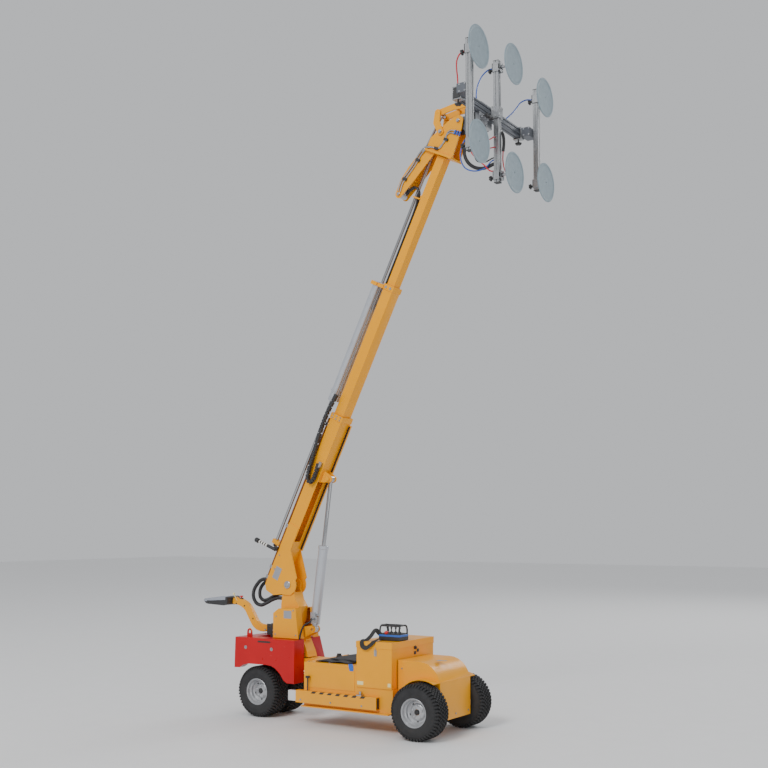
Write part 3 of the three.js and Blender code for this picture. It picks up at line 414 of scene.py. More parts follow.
# The CAD hoses. name: finish, bodies it joins, radius, points from the model
HOSES = {
    "vacuum_hose_right": ("hose_red", ("bar_right",), 0.006, [
        (1.4966, -0.62, 5.5), (1.48, -0.62, 5.5), (1.44, -0.62, 5.488), (1.408, -0.608, 5.446),
        (1.394, -0.586, 5.39), (1.39, -0.566, 5.33), (1.389, -0.558, 5.272), (1.389, -0.558, 5.2554)]),
    "vacuum_hose_middle": ("hose_blue", ("bar_middle", "cross_beam"), 0.006, [
        (1.4236, 0, 5.596), (1.408, 0, 5.596), (1.378, -0.022, 5.58), (1.356, -0.066, 5.53),
        (1.352, -0.118, 5.462), (1.36, -0.172, 5.39), (1.376, -0.22, 5.318), (1.385, -0.24, 5.262),
        (1.385, -0.24, 5.2446)]),
    "vacuum_hose_left": ("hose_blue", ("bar_left", "cross_beam"), 0.006, [
        (1.4966, 0.62, 5.518), (1.48, 0.62, 5.518), (1.44, 0.604, 5.52), (1.408, 0.56, 5.49),
        (1.398, 0.5, 5.428), (1.394, 0.43, 5.362), (1.39, 0.36, 5.306), (1.388, 0.306, 5.262),
        (1.388, 0.306, 5.2446)]),
    "head_hose": ("hose_black", ("cross_beam", "bar_middle"), 0.015, [
        (1.328, -0.07, 5.1), (1.328, -0.07, 5.084), (1.3, -0.08, 5.03), (1.235, -0.096, 4.97),
        (1.196, -0.1, 4.905), (1.198, -0.092, 4.842), (1.226, -0.078, 4.786), (1.268, -0.052, 4.752),
        (1.32, -0.024, 4.742), (1.372, -0.006, 4.752), (1.412, 0, 4.767), (1.4305, 0, 4.768)]),
}
for cad_hose, (hose_finish, hose_bodies, hose_radius, hose_points) in HOSES.items():
    hose("tube_" + cad_hose, hose_finish, hose_bodies, hose_radius, hose_points, node=cad_hose)

# Two conduits behind the mast: the CAD one, and a second that makes a tighter loop beside it.
TAIL_LOOP = [
    (-0.936, -0.045, 1.223), (-0.95, -0.045, 1.23), (-0.99, -0.046, 1.233), (-1.03, -0.046, 1.22),
    (-1.075, -0.046, 1.179), (-1.11, -0.046, 1.124), (-1.114, -0.046, 1.065), (-1.08, -0.046, 1.01),
    (-1.022, -0.045, 0.992), (-0.955, -0.044, 1.015), (-0.897, -0.042, 1.043), (-0.83, -0.04, 1.064),
    (-0.779, -0.04, 1.063), (-0.763, -0.04, 1.0606)]
TWIN_LOOP = [
    (-0.945, 0.004, 1.1995), (-0.959, 0.004, 1.206), (-0.996, 0.004, 1.208), (-1.034, 0.002, 1.186),
    (-1.064, 0.0, 1.148), (-1.076, 0.0, 1.104), (-1.068, 0.0, 1.062), (-1.034, 0.0, 1.036),
    (-0.985, 0.0, 1.04), (-0.93, 0.002, 1.066), (-0.87, 0.004, 1.092), (-0.81, 0.004, 1.102),
    (-0.752, 0.004, 1.102)]
TAIL_BODIES = ("boom_base", "chassis")
hose("tube_tail_hose", "hose_black", TAIL_BODIES, 0.017, TAIL_LOOP, sides=16, ribs=True, node="tail_hose")
hose("twin_tail_hose", "hose_black", TAIL_BODIES, 0.0165, TWIN_LOOP, sides=16, ribs=True)


# ---------------------------------------------------------------- wheels
# Profiles are (distance from the axle, distance out from the wheel's middle).
TYRE_WALL = [(0.112, 0.084), (0.118, 0.097), (0.132, 0.1015), (0.15, 0.1025), (0.158, 0.1035), (0.163, 0.102),
             (0.185, 0.102), (0.197, 0.098), (0.206, 0.092), (0.211, 0.083), (0.214, 0.07),
             (0.216, 0.04), (0.2165, 0.0)]
TYRE_INSIDE = [(0.112, -0.07), (0.2, -0.075), (0.21, 0.0), (0.2, 0.075), (0.112, 0.07)]
RIM_DISH = [(0.1165, 0.1), (0.1185, 0.0985), (0.1175, 0.0955), (0.1085, 0.093), (0.1065, 0.083),
            (0.105, 0.072), (0.0935, 0.06), (0.0925, 0.035), (0.084, 0.026), (0.072, 0.025),
            (0.064, 0.033), (0.052, 0.038), (0.034, 0.0385), (0.0285, 0.042), (0.0255, 0.042),
            (0.0255, 0.026), (0.054, 0.026), (0.07, 0.018), (0.088, 0.018), (0.088, -0.065),
            (0.105, -0.085), (0.117, -0.096), (0.117, -0.1), (0.1085, -0.096), (0.098, -0.086),
            (0.098, 0.056), (0.1085, 0.07), (0.1115, 0.093)]
LUGS = 48
LUG_STEP = 2 * math.pi / LUGS
# Rows of tread blocks: inner and outer width, skew, and offset in blocks.
TREAD_ROWS = [(0.004, 0.024, 0.14, 0.0), (-0.024, -0.004, -0.14, 0.5), (0.029, 0.049, -0.14, 0.5),
              (-0.049, -0.029, 0.14, 0.0), (0.054, 0.073, 0.1, 0.0), (-0.073, -0.054, -0.1, 0.5)]


def lug(shape, centre, side, turn, low, high, skew, base, crown_low, crown_high):
    """One tread block between two widths, skewed round the tyre."""
    half = LUG_STEP * 0.31
    rings = []
    for along, shift, crown in ((low, -skew, crown_low), (high, skew, crown_high)):
        ring = []
        for radius, reach in ((base, -1.15), (base, 1.15), (crown, 0.85), (crown, -0.85)):
            angle = turn + shift + half * reach
            ring.append(centre + Vector((radius * math.cos(angle), side * along, radius * math.sin(angle))))
        rings.append(ring)
    shape.loft(rings)


def wheel(end, side_name):
    """A turf tyre with staggered lugs and shoulder lugs, its rim with nuts and valve, the hub cap, and flat
    black discs painted as the shade inside the rim's openings.
    """
    side = SIDES[side_name]
    body = f"{end}_{side_name}_wheel"
    centre = Vector((AXLE_X[end], side * TRACK[end], TYRE_R))
    outward = (0, side, 0)

    tyre = Shape()
    other_wall = [(r, -a) for r, a in TYRE_WALL[-2::-1]]
    tyre.turned(centre, outward, TYRE_WALL + other_wall + TYRE_INSIDE, 96, closed=True)
    for i in range(LUGS):
        for low, high, skew, offset in TREAD_ROWS:
            turn = (i + offset) * LUG_STEP
            lug(tyre, centre, side, turn, low, high, skew * LUG_STEP * 2, 0.212, 0.2284, 0.2281)
        for edge, offset in ((1, 0.25), (-1, 0.75)):
            turn = (i + offset) * LUG_STEP
            lug(tyre, centre, side, turn, edge * 0.078, edge * 0.1005, 0.0, 0.2, 0.2268, 0.212)
    tyre.done("tyre_" + body, body, "tyre", smooth=28, replaces=[f"tyre_{end}_{side_name}"])

    def on_hub(share, radius, out):
        """A point at this share of a turn, distance from the axle and distance out."""
        turn = 2 * math.pi * share
        return centre + Vector((math.cos(turn) * radius, side * out, math.sin(turn) * radius))

    rim = Shape().turned(centre, outward, RIM_DISH, 72, closed=True)
    for i in range(5):
        rim.bolt(on_hub((i + 0.25) / 5, 0.046, 0.0375), outward, 0.0085)
    rim.rod(on_hub(0, 0.08, 0.026), on_hub(0, 0.08, 0.056), 0.004, sides=12)
    rim.done("rim_" + body, body, "rim", smooth=38, replaces=[f"rim_{end}_{side_name}"])

    # Flat black discs on the rim's face: painted shade in place of the rim's openings, which are not cut
    # through.
    hole_shade_and_cap = Shape()
    for i in range(5):
        hole_shade_and_cap.turned(on_hub((i + 0.75) / 5, 0.0765, 0.0252), outward, [(0.0085, 0), (0.0085, 0.0006)], 20)
    cap = [(0.02, 0), (0.02, 0.016), (0.017, 0.019), (0.006, 0.02)]
    hole_shade_and_cap.turned(on_hub(0, 0, 0.03), outward, cap, 32)
    hole_shade_and_cap.done("hub_cap_and_hole_shade_" + body, body, "black_plastic")


for wheel_end in TRACK:
    for wheel_side in SIDES:
        wheel(wheel_end, wheel_side)


# ---------------------------------------------------------------- suction cups and their bars
CUP_FACE = [(0.006, 1.6115), (0.0075, 1.615), (0.05, 1.6152), (0.1, 1.6156), (0.145, 1.616),
            (0.15, 1.6162), (0.153, 1.6182), (0.16, 1.6196), (0.168, 1.6192), (0.1718, 1.6165),
            (0.1712, 1.612), (0.166, 1.6085), (0.152, 1.6065), (0.146, 1.603), (0.12, 1.6005),
            (0.119, 1.5985), (0.08, 1.5975), (0.079, 1.595), (0.045, 1.5945)]
CUP_HUB = [(0.052, 1.595), (0.052, 1.5915), (0.05, 1.59), (0.027, 1.59), (0.026, 1.586), (0.012, 1.585)]
COIL_TURNS, COIL_STEPS = 4, 20


def cup(column, level, z, stem_x):
    y = COLUMNS[column]
    body = f"cup_{column}_{level}"
    disc = Shape().turned((0, y, z), FORWARD, CUP_FACE, 96)
    disc.done("disc_" + body, body, "cup_rubber", smooth=40, replaces=[body])
    hub = Shape().turned((0, y, z), FORWARD, [*CUP_HUB, (0.0115, stem_x), (0.01, stem_x)], 48)
    for i in range(6):
        turn = math.pi * i / 3
        hub.bolt((1.5905, y + 0.04 * math.cos(turn), z + 0.04 * math.sin(turn)), BACKWARD, 0.0045)
    hub.done("hub_" + body, body, "steel", smooth=30)
    coil = []
    for i in range(COIL_TURNS * COIL_STEPS + 1):
        turn = 2 * math.pi * i / COIL_STEPS
        along = 1.5745 + 0.011 * i / (COIL_TURNS * COIL_STEPS)
        coil.append((along, y + 0.0145 * math.cos(turn), z + 0.0145 * math.sin(turn)))
    Shape().tube(coil, 0.0017, 6).done("spring_" + body, body, "steel", smooth=60)


def slotted(half_x, half_y, slots_x, slots_y, slot=0.0042, depth=0.0065, corner=0.003):
    """The outline of an aluminium extrusion with T-slots at these offsets along its sides."""
    def side(length_half, offset_half, slots, quarters):
        points = [(-length_half + corner, -offset_half)]
        for middle in slots:
            points += [(middle - slot, -offset_half), (middle - slot, -offset_half + depth),
                       (middle + slot, -offset_half + depth), (middle + slot, -offset_half)]
        points.append((length_half - corner, -offset_half))
        cos, sin = ((1, 0), (0, 1), (-1, 0), (0, -1))[quarters]
        return [(x * cos - y * sin, x * sin + y * cos) for x, y in points]
    return (side(half_x, half_y, slots_x, 0) + side(half_y, half_x, slots_y, 1)
            + side(half_x, half_y, slots_x, 2) + side(half_y, half_x, slots_y, 3))


def star_knob(shape, point, axis, radius=0.024):
    """A five-lobed hand knob on a short screw."""
    axis = Vector(axis).normalized()
    across = axis.orthogonal().normalized()
    other = axis.cross(across)
    point = Vector(point)
    shape.turned(point, axis, [(0.006, 0), (0.006, 0.016), (0.012, 0.018), (0.012, 0.026)], 16)
    rings = []
    for along, size in ((0.024, 0.86), (0.027, 1.0), (0.038, 1.0), (0.042, 0.84)):
        ring = []
        for i in range(40):
            turn = 2 * math.pi * i / 40
            reach = radius * size * (0.86 + 0.16 * math.cos(5 * turn))
            ring.append(point + axis * along + (across * math.cos(turn) + other * math.sin(turn)) * reach)
        rings.append(ring)
    shape.loft(rings)


def bar(column, x0, z0, z1, levels, socket_x):
    """A vertical cup bar with its end caps, cup clamps and hand knobs."""
    y = COLUMNS[column]
    body = "bar_" + column
    outline = slotted(0.025, 0.025, [0.0], [0.0])
    ends = (z0 + 0.004, z1 - 0.004)
    profile = Shape().loft([[(x0 + 0.025 + p, y + q, z) for p, q in outline] for z in ends])
    profile.done("profile_" + body, body, "aluminium_profile", smooth=30, replaces=[body])
    caps = Shape()
    for low, high in ((z0 - 0.001, z0 + 0.005), (z1 - 0.005, z1 + 0.001)):
        caps.box((x0 - 0.0005, y - 0.0255, low), (x0 + 0.0505, y + 0.0255, high))
    caps.done("end_caps_" + body, body, "black_plastic", bevel=0.0015)
    clamps, knobs, screws = Shape(), Shape(), Shape()
    back, front = socket_x
    lip, face = front - 0.016, front - 0.0005
    half = 0.038
    for level in levels:
        for low_x, high_x, low_y, high_y, low_z, high_z in (
                (back, front, -0.033, -0.02, -half, half),
                (back, front, 0.02, 0.033, -half, half),
                (back, back + 0.008, -0.033, 0.033, -half, half),
                (lip, face, -0.033, -0.0165, -half, half),
                (lip, face, 0.0165, 0.033, -half, half),
                (lip, face, -0.0166, 0.0166, -half, -0.0165),
                (lip, face, -0.0166, 0.0166, 0.0165, half)):
            clamps.box((low_x, y + low_y, level + low_z), (high_x, y + high_y, level + high_z))
        star_knob(knobs, (back - 0.002, y, level - 0.012), BACKWARD)
        for dz in (-0.026, 0.026):
            screws.bolt((front - 0.012, y - 0.033, level + dz), NEAR, 0.0045)
            screws.bolt((front - 0.012, y + 0.033, level + dz), FAR, 0.0045)
    clamps.done("clamps_" + body, body, "aluminium_profile", bevel=0.0015)
    knobs.done("knobs_" + body, body, "black_plastic", smooth=35)
    screws.done("screws_" + body, body, "steel")


def outer_carrier(column):
    """The sleeve that slides on the cross beam and the block that carries an outer bar."""
    side = SIDES[column]
    body = "bar_" + column
    inner, outer = sorted((side * 0.518, side * 0.578))
    x0, x1, z0, z1 = BEAM_X - 0.04, BEAM_X + 0.044, BEAM_Z - 0.054, BEAM_Z + 0.054
    sleeve = Shape().boxes(((x0, inner, z0), (x0 + 0.009, outer, z1)),
                           ((x1 - 0.013, inner, z0), (x1, outer, z1)),
                           ((x0 + 0.0085, inner, z0), (x1 - 0.0125, outer, z0 + 0.01)),
                           ((x0 + 0.0085, inner, z1 - 0.01), (x1 - 0.0125, outer, z1)))
    sleeve.done("sleeve_" + body, body, "aluminium_profile", bevel=0.003)
    near, far = sorted((side * 0.518, side * 0.65))
    block = Shape().box((BEAM_X + 0.04, near, BEAM_Z - 0.04), (1.5052, far, BEAM_Z + 0.04))
    block.done("block_" + body, body, "dark_aluminium", bevel=0.003)
    trim = Shape()
    for dz in (-0.028, 0.028):
        for dx in (0.065, 0.115):
            trim.bolt((BEAM_X + dx, near, BEAM_Z + dz), NEAR, 0.006)
            trim.bolt((BEAM_X + dx, far, BEAM_Z + dz), FAR, 0.006)
    for dy in (0.015, 0.045):
        trim.bolt((BEAM_X, inner + dy, z1), UP, 0.006)
    trim.done("screws_sleeve_" + body, body, "steel")
    knob = Shape()
    star_knob(knob, (BEAM_X, (inner + outer) / 2, z0), DOWN, 0.03)
    knob.done("knob_sleeve_" + body, body, "black_plastic", smooth=35)


OUTER = [FRAME_Z - 0.384, FRAME_Z + 0.384]     # heights of the cups on the outer bars
INNER = [FRAME_Z - 0.465, FRAME_Z + 0.465]     # and on the middle one
for outer_side in SIDES:
    bar(outer_side, 1.505, FRAME_Z - 0.446, FRAME_Z + 0.472, OUTER, (1.498, 1.572))
    outer_carrier(outer_side)
    cup(outer_side, "lower", OUTER[0], 1.556)
    cup(outer_side, "upper", OUTER[1], 1.556)
bar("middle", 1.432, FRAME_Z - 0.527, FRAME_Z + 0.527, INNER, (1.425, 1.5))
cup("middle", "lower", INNER[0], 1.484)
cup("middle", "upper", INNER[1], 1.484)


# ---------------------------------------------------------------- cross beam
def cross_beam():
    body = "cross_beam"
    outline = slotted(0.03, 0.043, [0.0], [-0.02, 0.02])
    beam = Shape().loft([[(BEAM_X + p, y, BEAM_Z + q) for p, q in outline] for y in (-0.576, 0.576)])
    beam.done("profile_cross_beam", body, "dark_aluminium", smooth=30, replaces=["cross_beam"])
    caps = Shape()
    for low, high in ((-0.58, -0.575), (0.575, 0.58)):
        caps.box((BEAM_X - 0.0302, low, BEAM_Z - 0.0432), (BEAM_X + 0.0302, high, BEAM_Z + 0.0432))
    caps.done("end_caps_cross_beam", body, "black_plastic", bevel=0.0015)

    shoe = Shape()
    for x0, x1, low, high in ((1.345, 1.357, -0.098, 0.098),
                              (1.302, 1.346, -0.098, -0.06), (1.302, 1.346, 0.06, 0.098),
                              (1.278, 1.303, -0.098, -0.083), (1.278, 1.303, 0.083, 0.098)):
        shoe.box((x0, -0.095, BEAM_Z + low), (x1, 0.095, BEAM_Z + high))
    shoe.done("shoe_cross_beam", body, "aluminium_profile", bevel=0.002)

    clamp = Shape()
    for dx0, dx1, y0, y1, half in ((0.03, 0.0465, -0.04, 0.04, 0.055), (0.046, 0.098, -0.038, -0.0258, 0.05),
                                   (0.046, 0.098, 0.0258, 0.038, 0.05), (0.0978, 0.105, -0.038, 0.038, 0.05)):
        clamp.box((BEAM_X + dx0, y0, BEAM_Z - half), (BEAM_X + dx1, y1, BEAM_Z + half))
    clamp.done("clamp_middle_bar", body, "aluminium_profile", bevel=0.002)
    screws = Shape()
    for dz in (-0.036, 0.036):
        for dy in (-0.031, 0.031):
            screws.bolt((BEAM_X + 0.105, dy, BEAM_Z + dz), FORWARD, 0.0045)
        screws.bolt((BEAM_X + 0.072, -0.038, BEAM_Z + dz), NEAR, 0.0055)
    for dy in (-0.078, 0.078):
        for dz in (-0.079, 0.079):
            screws.bolt((1.357, dy, BEAM_Z + dz), FORWARD, 0.006)
    screws.done("screws_cross_beam", body, "steel")


def vacuum_valves():
    """The cluster that hangs under the beam, between the near bar and the middle one."""
    body = "cross_beam"
    blocks, fittings, knobs = Shape(), Shape(), Shape()
    for i, y in enumerate((-0.213, -0.164, -0.115)):
        knob_z, foot = BEAM_Z - 0.085, BEAM_Z - 0.185 - 0.01 * i
        blocks.box((1.372, y - 0.0215, BEAM_Z - 0.128), (1.412, y + 0.0215, BEAM_Z - 0.044))
        blocks.box((1.38, y - 0.015, foot), (1.404, y + 0.015, BEAM_Z - 0.126))
        fittings.rod((1.412, y, knob_z), (1.436, y, knob_z), 0.01, sides=24)
        fittings.rod((1.392, y, foot - 0.029), (1.392, y, foot + 0.001), 0.008, sides=20)
        fittings.bolt((1.412, y - 0.014, BEAM_Z - 0.06), FORWARD, 0.004)
        star_knob(knobs, (1.436, y, knob_z), FORWARD, 0.016)
    blocks.done("vacuum_valves", body, "steel", bevel=0.002)
    fittings.done("valve_fittings", body, "steel")
    knobs.done("valve_knobs", body, "black_plastic", smooth=35)
    thin_hoses({
        "valve_link_upper": ("hose_red", [
            (1.392, -0.213, 4.986), (1.398, -0.208, 4.95), (1.418, -0.16, 4.925), (1.438, -0.08, 4.96),
            (1.446, -0.046, 4.984), (1.446, -0.024, 4.986)]),
        "valve_link_lower": ("hose_red", [
            (1.392, -0.164, 4.976), (1.396, -0.158, 4.93), (1.412, -0.11, 4.88), (1.44, -0.056, 4.89),
            (1.446, -0.04, 4.898), (1.446, -0.024, 4.9)]),
    }, 0.005)


cross_beam()
vacuum_valves()

# ---------------------------------------------------------------- head
skin("head_carrier", "head", "dark_aluminium", 0.003)
skin("rotator", "rotator", "paint_black", 0.002)
skin("head_knuckle", "boom_tip", "paint_yellow", 0.0025)
skin("rocker_link", "tilt_rocker", "paint_yellow", 0.003)
skin("top_link", "tilt_link", "paint_yellow", 0.003)
skin("tilt_rod", "tilt_piston", "chrome_rod", 0.0008)


def tilt_cylinder():
    foot = Vector((3.632, 0, 0.438))
    tip = Vector((4.394, 0, 0.352))
    along = (tip - foot).normalized()
    square = Vector((-along.z, 0, along.x))
    profile = [(0.023, 0.01), (0.0245, 0.012), (0.0245, 0.408), (0.027, 0.411), (0.027, 0.436),
               (0.0235, 0.441), (0.013, 0.441)]
    barrel = Shape(BOOM).turned(foot, along, profile, 48)
    barrel.rod(foot + Vector((0, -0.042, 0)), foot + Vector((0, 0.042, 0)), 0.028, 0.002, 40)
    for spot in (0.06, 0.385):
        port = foot + along * spot
        barrel.rod(port + square * 0.02, port + square * 0.04, 0.009, sides=24)
    barrel.done("barrel_tilt", "tilt_cylinder", "cylinder_grey", replaces=["tilt_barrel"])


tilt_cylinder()


def knuckle_pipes():
    """Hydraulic pipes that zigzag over the near face of the knuckle and along the tilt arm."""
    near = -0.0765
    pipes, clamps = Shape(BOOM), Shape(BOOM)
    for shift in (0.0, 0.022):
        zigzag = [(4.082, near, 0.352 - shift), (4.1, near, 0.3 - shift), (4.104, near, 0.238 - shift),
                  (4.118 + shift, near, 0.196), (4.165 + shift, near, 0.186 - shift / 2),
                  (4.232 + shift, near, 0.182), (4.262 + shift, near, 0.16), (4.27 + shift, near, 0.105)]
        pipes.tube(smooth_path(zigzag, 6), 0.006, 12)
    arm = [(3.655, -0.068, 0.452), (3.731, -0.069, 0.459), (3.812, -0.069, 0.436), (3.91, -0.069, 0.405),
           (4.013, -0.071, 0.385), (4.075, -0.0765, 0.356)]
    for drop in (0.0, 0.024):
        pipes.tube(smooth_path([(u, y, v - drop) for u, y, v in arm], 6), 0.0065, 12)
    for u, v in ((4.104, 0.24), (4.2, 0.18)):
        clamps.box((u - 0.012, near - 0.009, v - 0.03), (u + 0.012, -0.0698, v + 0.012))
    for u, v in ((3.77, 0.44), (3.96, 0.382)):
        clamps.box((u - 0.012, -0.078, v - 0.03), (u + 0.012, -0.0615, v + 0.014))
    pipes.done("knuckle_pipes", "boom_tip", "steel", smooth=60)
    clamps.done("knuckle_clamps", "boom_tip", "black_plastic", bevel=0.0015)

    fittings = Shape(BOOM)
    for v in (0.06, 0.085, 0.11):
        fittings.rod((4.262, -0.078, v), (4.3, -0.078, v), 0.008, sides=20)
    fittings.done("knuckle_fittings", "boom_tip", "blue_plastic")
    bolts = Shape(BOOM)
    for u, out, v in ((4.247, 0.093, 0.252), (4.382, 0.079, 0.128), (3.632, 0.071, 0.438)):
        bolts.bolt_pair(u, out, v, 0.013)
    bolts.done("pivot_bolts_knuckle", "boom_tip", "steel")


knuckle_pipes()


def head_details():
    """Bolts, rotator motor and hose loops on the tilting head."""
    bolts = Shape()
    for y in (-0.082, 0.082):
        for z in (5.065, 5.15, 5.24):
            bolts.bolt((1.216, y, z), FORWARD, 0.007)
    bolts.done("bolts_carrier", "head", "steel")
    can = [(0.034, -0.06), (0.036, -0.056), (0.036, 0.03)]
    motor = Shape().turned((1.165, 0, BEAM_Z - 0.085), FORWARD, can, 40)
    motor.done("rotator_motor", "head", "black_plastic")
    section = [(0.07, 0.003), (0.074, 0.006), (0.074, 0.036), (0.07, 0.04), (0.067, 0.04), (0.067, 0.003)]
    ring = Shape().turned((1.2155, 0, BEAM_Z), FORWARD, section, 64, closed=True)
    ring.done("slewing_ring", "rotator", "steel")
    thin_hoses({
        "head_line_blue": ("hose_blue", [
            (1.33, -0.088, 5.101), (1.3, -0.096, 5.06), (1.215, -0.122, 4.985), (1.178, -0.13, 4.9),
            (1.176, -0.128, 4.81), (1.212, -0.118, 4.738), (1.284, -0.09, 4.708), (1.36, -0.045, 4.732),
            (1.408, -0.018, 4.79), (1.4335, -0.016, 4.798)]),
        "head_line_red": ("hose_red", [
            (1.33, -0.04, 5.101), (1.3, -0.05, 5.06), (1.252, -0.07, 4.98), (1.244, -0.074, 4.89),
            (1.3, -0.066, 4.815), (1.362, -0.052, 4.75), (1.4, -0.03, 4.706), (1.4335, -0.015, 4.7)]),
        "head_line_black": ("hose_black", [
            (1.33, 0.02, 5.101), (1.292, 0.018, 5.06), (1.252, 0.01, 4.99), (1.236, 0.0, 4.9),
            (1.268, -0.008, 4.82), (1.34, -0.004, 4.8), (1.4, 0.014, 4.826), (1.4335, 0.016, 4.83)]),
    }, 0.0058)
    sleeve = [(1.474, 0.036, 5.046), (1.484, 0.043, 5.03), (1.491, 0.047, 4.995), (1.492, 0.048, 4.94),
              (1.486, 0.046, 4.88)]
    tube = Shape().tube(smooth_path(sleeve, 10), 0.013, 14)
    tube.done("cable_sleeve", "bar_middle", "hose_black", smooth=60)
    cable = [(1.486, 0.046, 4.885), (1.484, 0.044, 4.8), (1.5, 0.042, 4.72), (1.53, 0.038, 4.672),
             (1.56, 0.02, 4.662)]
    tube = Shape().tube(smooth_path(cable, 10), 0.0055, 10)
    tube.done("cable_red", "bar_middle", "hose_red", smooth=60)


head_details()

# ---------------------------------------------------------------- boom
for stage in ("boom_base", "boom_middle", "boom_tip"):
    skin(stage, stage, "paint_yellow", 0.003)


def boom_cylinders():
    """The twin extension cylinders on top of the boom, which point in opposite directions."""
    level = 0.322
    near_barrel = [(0.017, 1.705), (0.033, 1.705), (0.036, 1.709), (0.036, 1.76), (0.034, 1.763),
                   (0.034, 2.852), (0.031, 2.856)]
    far_barrel = [(0.02, 1.705), (0.034, 1.708), (0.034, 2.8), (0.036, 2.803), (0.036, 2.852),
                  (0.033, 2.856), (0.016, 2.856)]
    barrels = Shape(BOOM)
    barrels.turned((0, -0.036, level), FORWARD, near_barrel, 48)
    barrels.turned((0, 0.036, level), FORWARD, far_barrel, 48)
    barrels.box((1.712, -0.03, level - 0.024), (1.758, 0.03, level + 0.024))
    for u, y in ((1.8, -0.036), (2.78, 0.036)):
        barrels.rod((u, y, level + 0.03), (u, y, level + 0.05), 0.01, sides=24)
    barrels.done("barrels_extension", "boom_middle", "cylinder_grey", replaces=["extend_barrel"])
    lower = Shape(BOOM).rod((0.234, -0.036, level), (1.77, -0.036, level), 0.015, 0.002, 40)
    lower.turned((0.238, -0.036, level), FORWARD, [(0.021, 0), (0.021, 0.02)], 6)
    lower.done("rod_extension_lower", "boom_base", "chrome_rod", replaces=["extend_rod_lower"])
    upper = Shape(BOOM).rod((2.795, 0.036, level), (4.058, 0.036, level), 0.015, 0.002, 40)
    upper.done("rod_extension_upper", "boom_tip", "chrome_rod", replaces=["extend_rod_upper"])


boom_cylinders()


def boom_details():
    """Pipes, bolts, pads, plate, pin caps and strip of the base, and the hoses that turn into the tip."""
    pipes, clamps = Shape(BOOM), Shape(BOOM)
    for i in range(3):
        y = -0.064 + i * 0.018
        run = [(-0.09, y, 0.25), (0.3, y, 0.254), (0.9, y, 0.254), (1.56, y, 0.254)]
        pipes.tube(smooth_path(run, 6), 0.0075, 12)
    for u in (-0.045, 0.06, 0.48, 0.99, 1.5):
        clamps.box((u - 0.016, -0.074, 0.2355), (u + 0.016, -0.019, 0.266))
    pipes.done("boom_pipes", "boom_base", "pipe_copper", smooth=60)
    clamps.done("boom_pipe_clamps", "boom_base", "steel", bevel=0.002)

    bolts = Shape(BOOM)
    for u in (1.582, 1.61):
        for v in (0.13, 0.173, 0.216):
            bolts.bolt_pair(u, 0.081, v, 0.006)
    for spot in ((0.06, -0.08, 0.2), (0.2, -0.08, 0.205)):
        bolts.bolt(spot, NEAR, 0.006)
    bolts.done("bolts_boom_base", "boom_base", "steel")
    pads = Shape(BOOM)
    for v in (0.148, 0.198):
        pads.rod((2.842, -0.073, v), (2.842, -0.067, v), 0.012, sides=24)
    pads.done("pad_screws_middle", "boom_middle", "steel")
    plate = Shape(BOOM).box((-0.02, -0.0812, 0.12), (0.1, -0.0799, 0.19))
    plate.done("blank_plate_root", "boom_base", "plate_pale", bevel=0.0003)
    pin = Shape(BOOM)
    cap = [(0.034, 0), (0.034, 0.008), (0.031, 0.01), (0.019, 0.01), (0.017, 0.0125), (0.004, 0.0125)]
    for side in (-1, 1):
        pin.turned((0, side * 0.08, 0), (0, side, 0), cap, 48)
        for turn in (0.5, 2.6, 4.7):
            pin.bolt((0.026 * math.cos(turn), side * 0.09, 0.026 * math.sin(turn)), (0, side, 0), 0.004)
    pin.done("pivot_caps", "boom_base", "steel")

    strip = Shape(BOOM).box((0.31, 0.0545, 0.086), (1.55, 0.0572, 0.106))
    for i in range(24):
        u = 0.33 + i * 0.0515
        strip.box((u, 0.053, 0.09), (u + 0.02, 0.055, 0.102))
    strip.done("cable_strip", "boom_base", "hose_black", bevel=0.001)

    hoses = Shape(BOOM)
    run = [(3.655, 0.405), (3.7, 0.385), (3.74, 0.34), (3.715, 0.29), (3.65, 0.268), (3.56, 0.256),
           (3.3, 0.2525), (2.95, 0.2525), (2.6, 0.2525)]
    for y, radius in ((-0.008, 0.0085), (0.0115, 0.0095)):
        hoses.tube(smooth_path([(u, y, v) for u, v in run], 8), radius, 14)
    hoses.done("tip_stage_hoses", "boom_tip", "hose_black", smooth=60)
    bracket = Shape(BOOM).boxes(((3.65, -0.046, 0.214), (3.69, 0.046, 0.224)),
                                ((3.65, -0.046, 0.214), (3.662, -0.036, 0.3)),
                                ((3.65, 0.036, 0.214), (3.662, 0.046, 0.3)))
    bracket.done("hose_bracket", "boom_tip", "paint_yellow", bevel=0.002)


boom_details()


def energy_chain():
    """Links at an even pitch along the chain's route, the hoses inside it, and the bracket at its end."""
    y, pitch = -0.106, 0.026
    route = [(1.776, y, 0.246), (1.6, y, 0.266), (1.46, y, 0.266), (1.2, y, 0.24), (1.02, y, 0.218),
             (0.968, y, 0.196), (0.956, y, 0.168), (0.985, y, 0.146), (1.05, y, 0.144), (1.15, y, 0.152)]
    path = smooth_path(route, 24)
    links = Shape(BOOM)
    corners = ((-1, -1), (1, -1), (1, 1), (-1, 1))
    travelled, goal = 0.0, 0.0
    for a, b in zip(path, path[1:]):
        travelled += (b - a).length
        if travelled < goal:
            continue
        goal += pitch
        along = (b - a).normalized()
        up = Vector((-along.z, 0, along.x)) * 0.015
        side = Vector((0, 0.0165, 0))
        rings = []
        for reach, size in ((-0.012, 0.82), (-0.009, 1.0), (0.009, 1.0), (0.012, 0.82)):
            middle = a + along * reach
            rings.append([middle + (side * s + up * t) * size for s, t in corners])
        links.loft(rings)
    core = Shape(BOOM).tube(path, 0.0095, 12)
    links.done("chain_links", "boom_base", "black_plastic", bevel=0.0012, replaces=["hose_chain"])
    core.done("chain_core", "boom_base", "hose_black", smooth=60)
    bracket = Shape(BOOM).boxes(((1.12, -0.124, 0.13), (1.165, -0.0755, 0.1355)),
                                ((1.12, -0.0855, 0.13), (1.165, -0.0755, 0.17)))
    bracket.done("chain_bracket", "boom_base", "steel", bevel=0.001)


energy_chain()


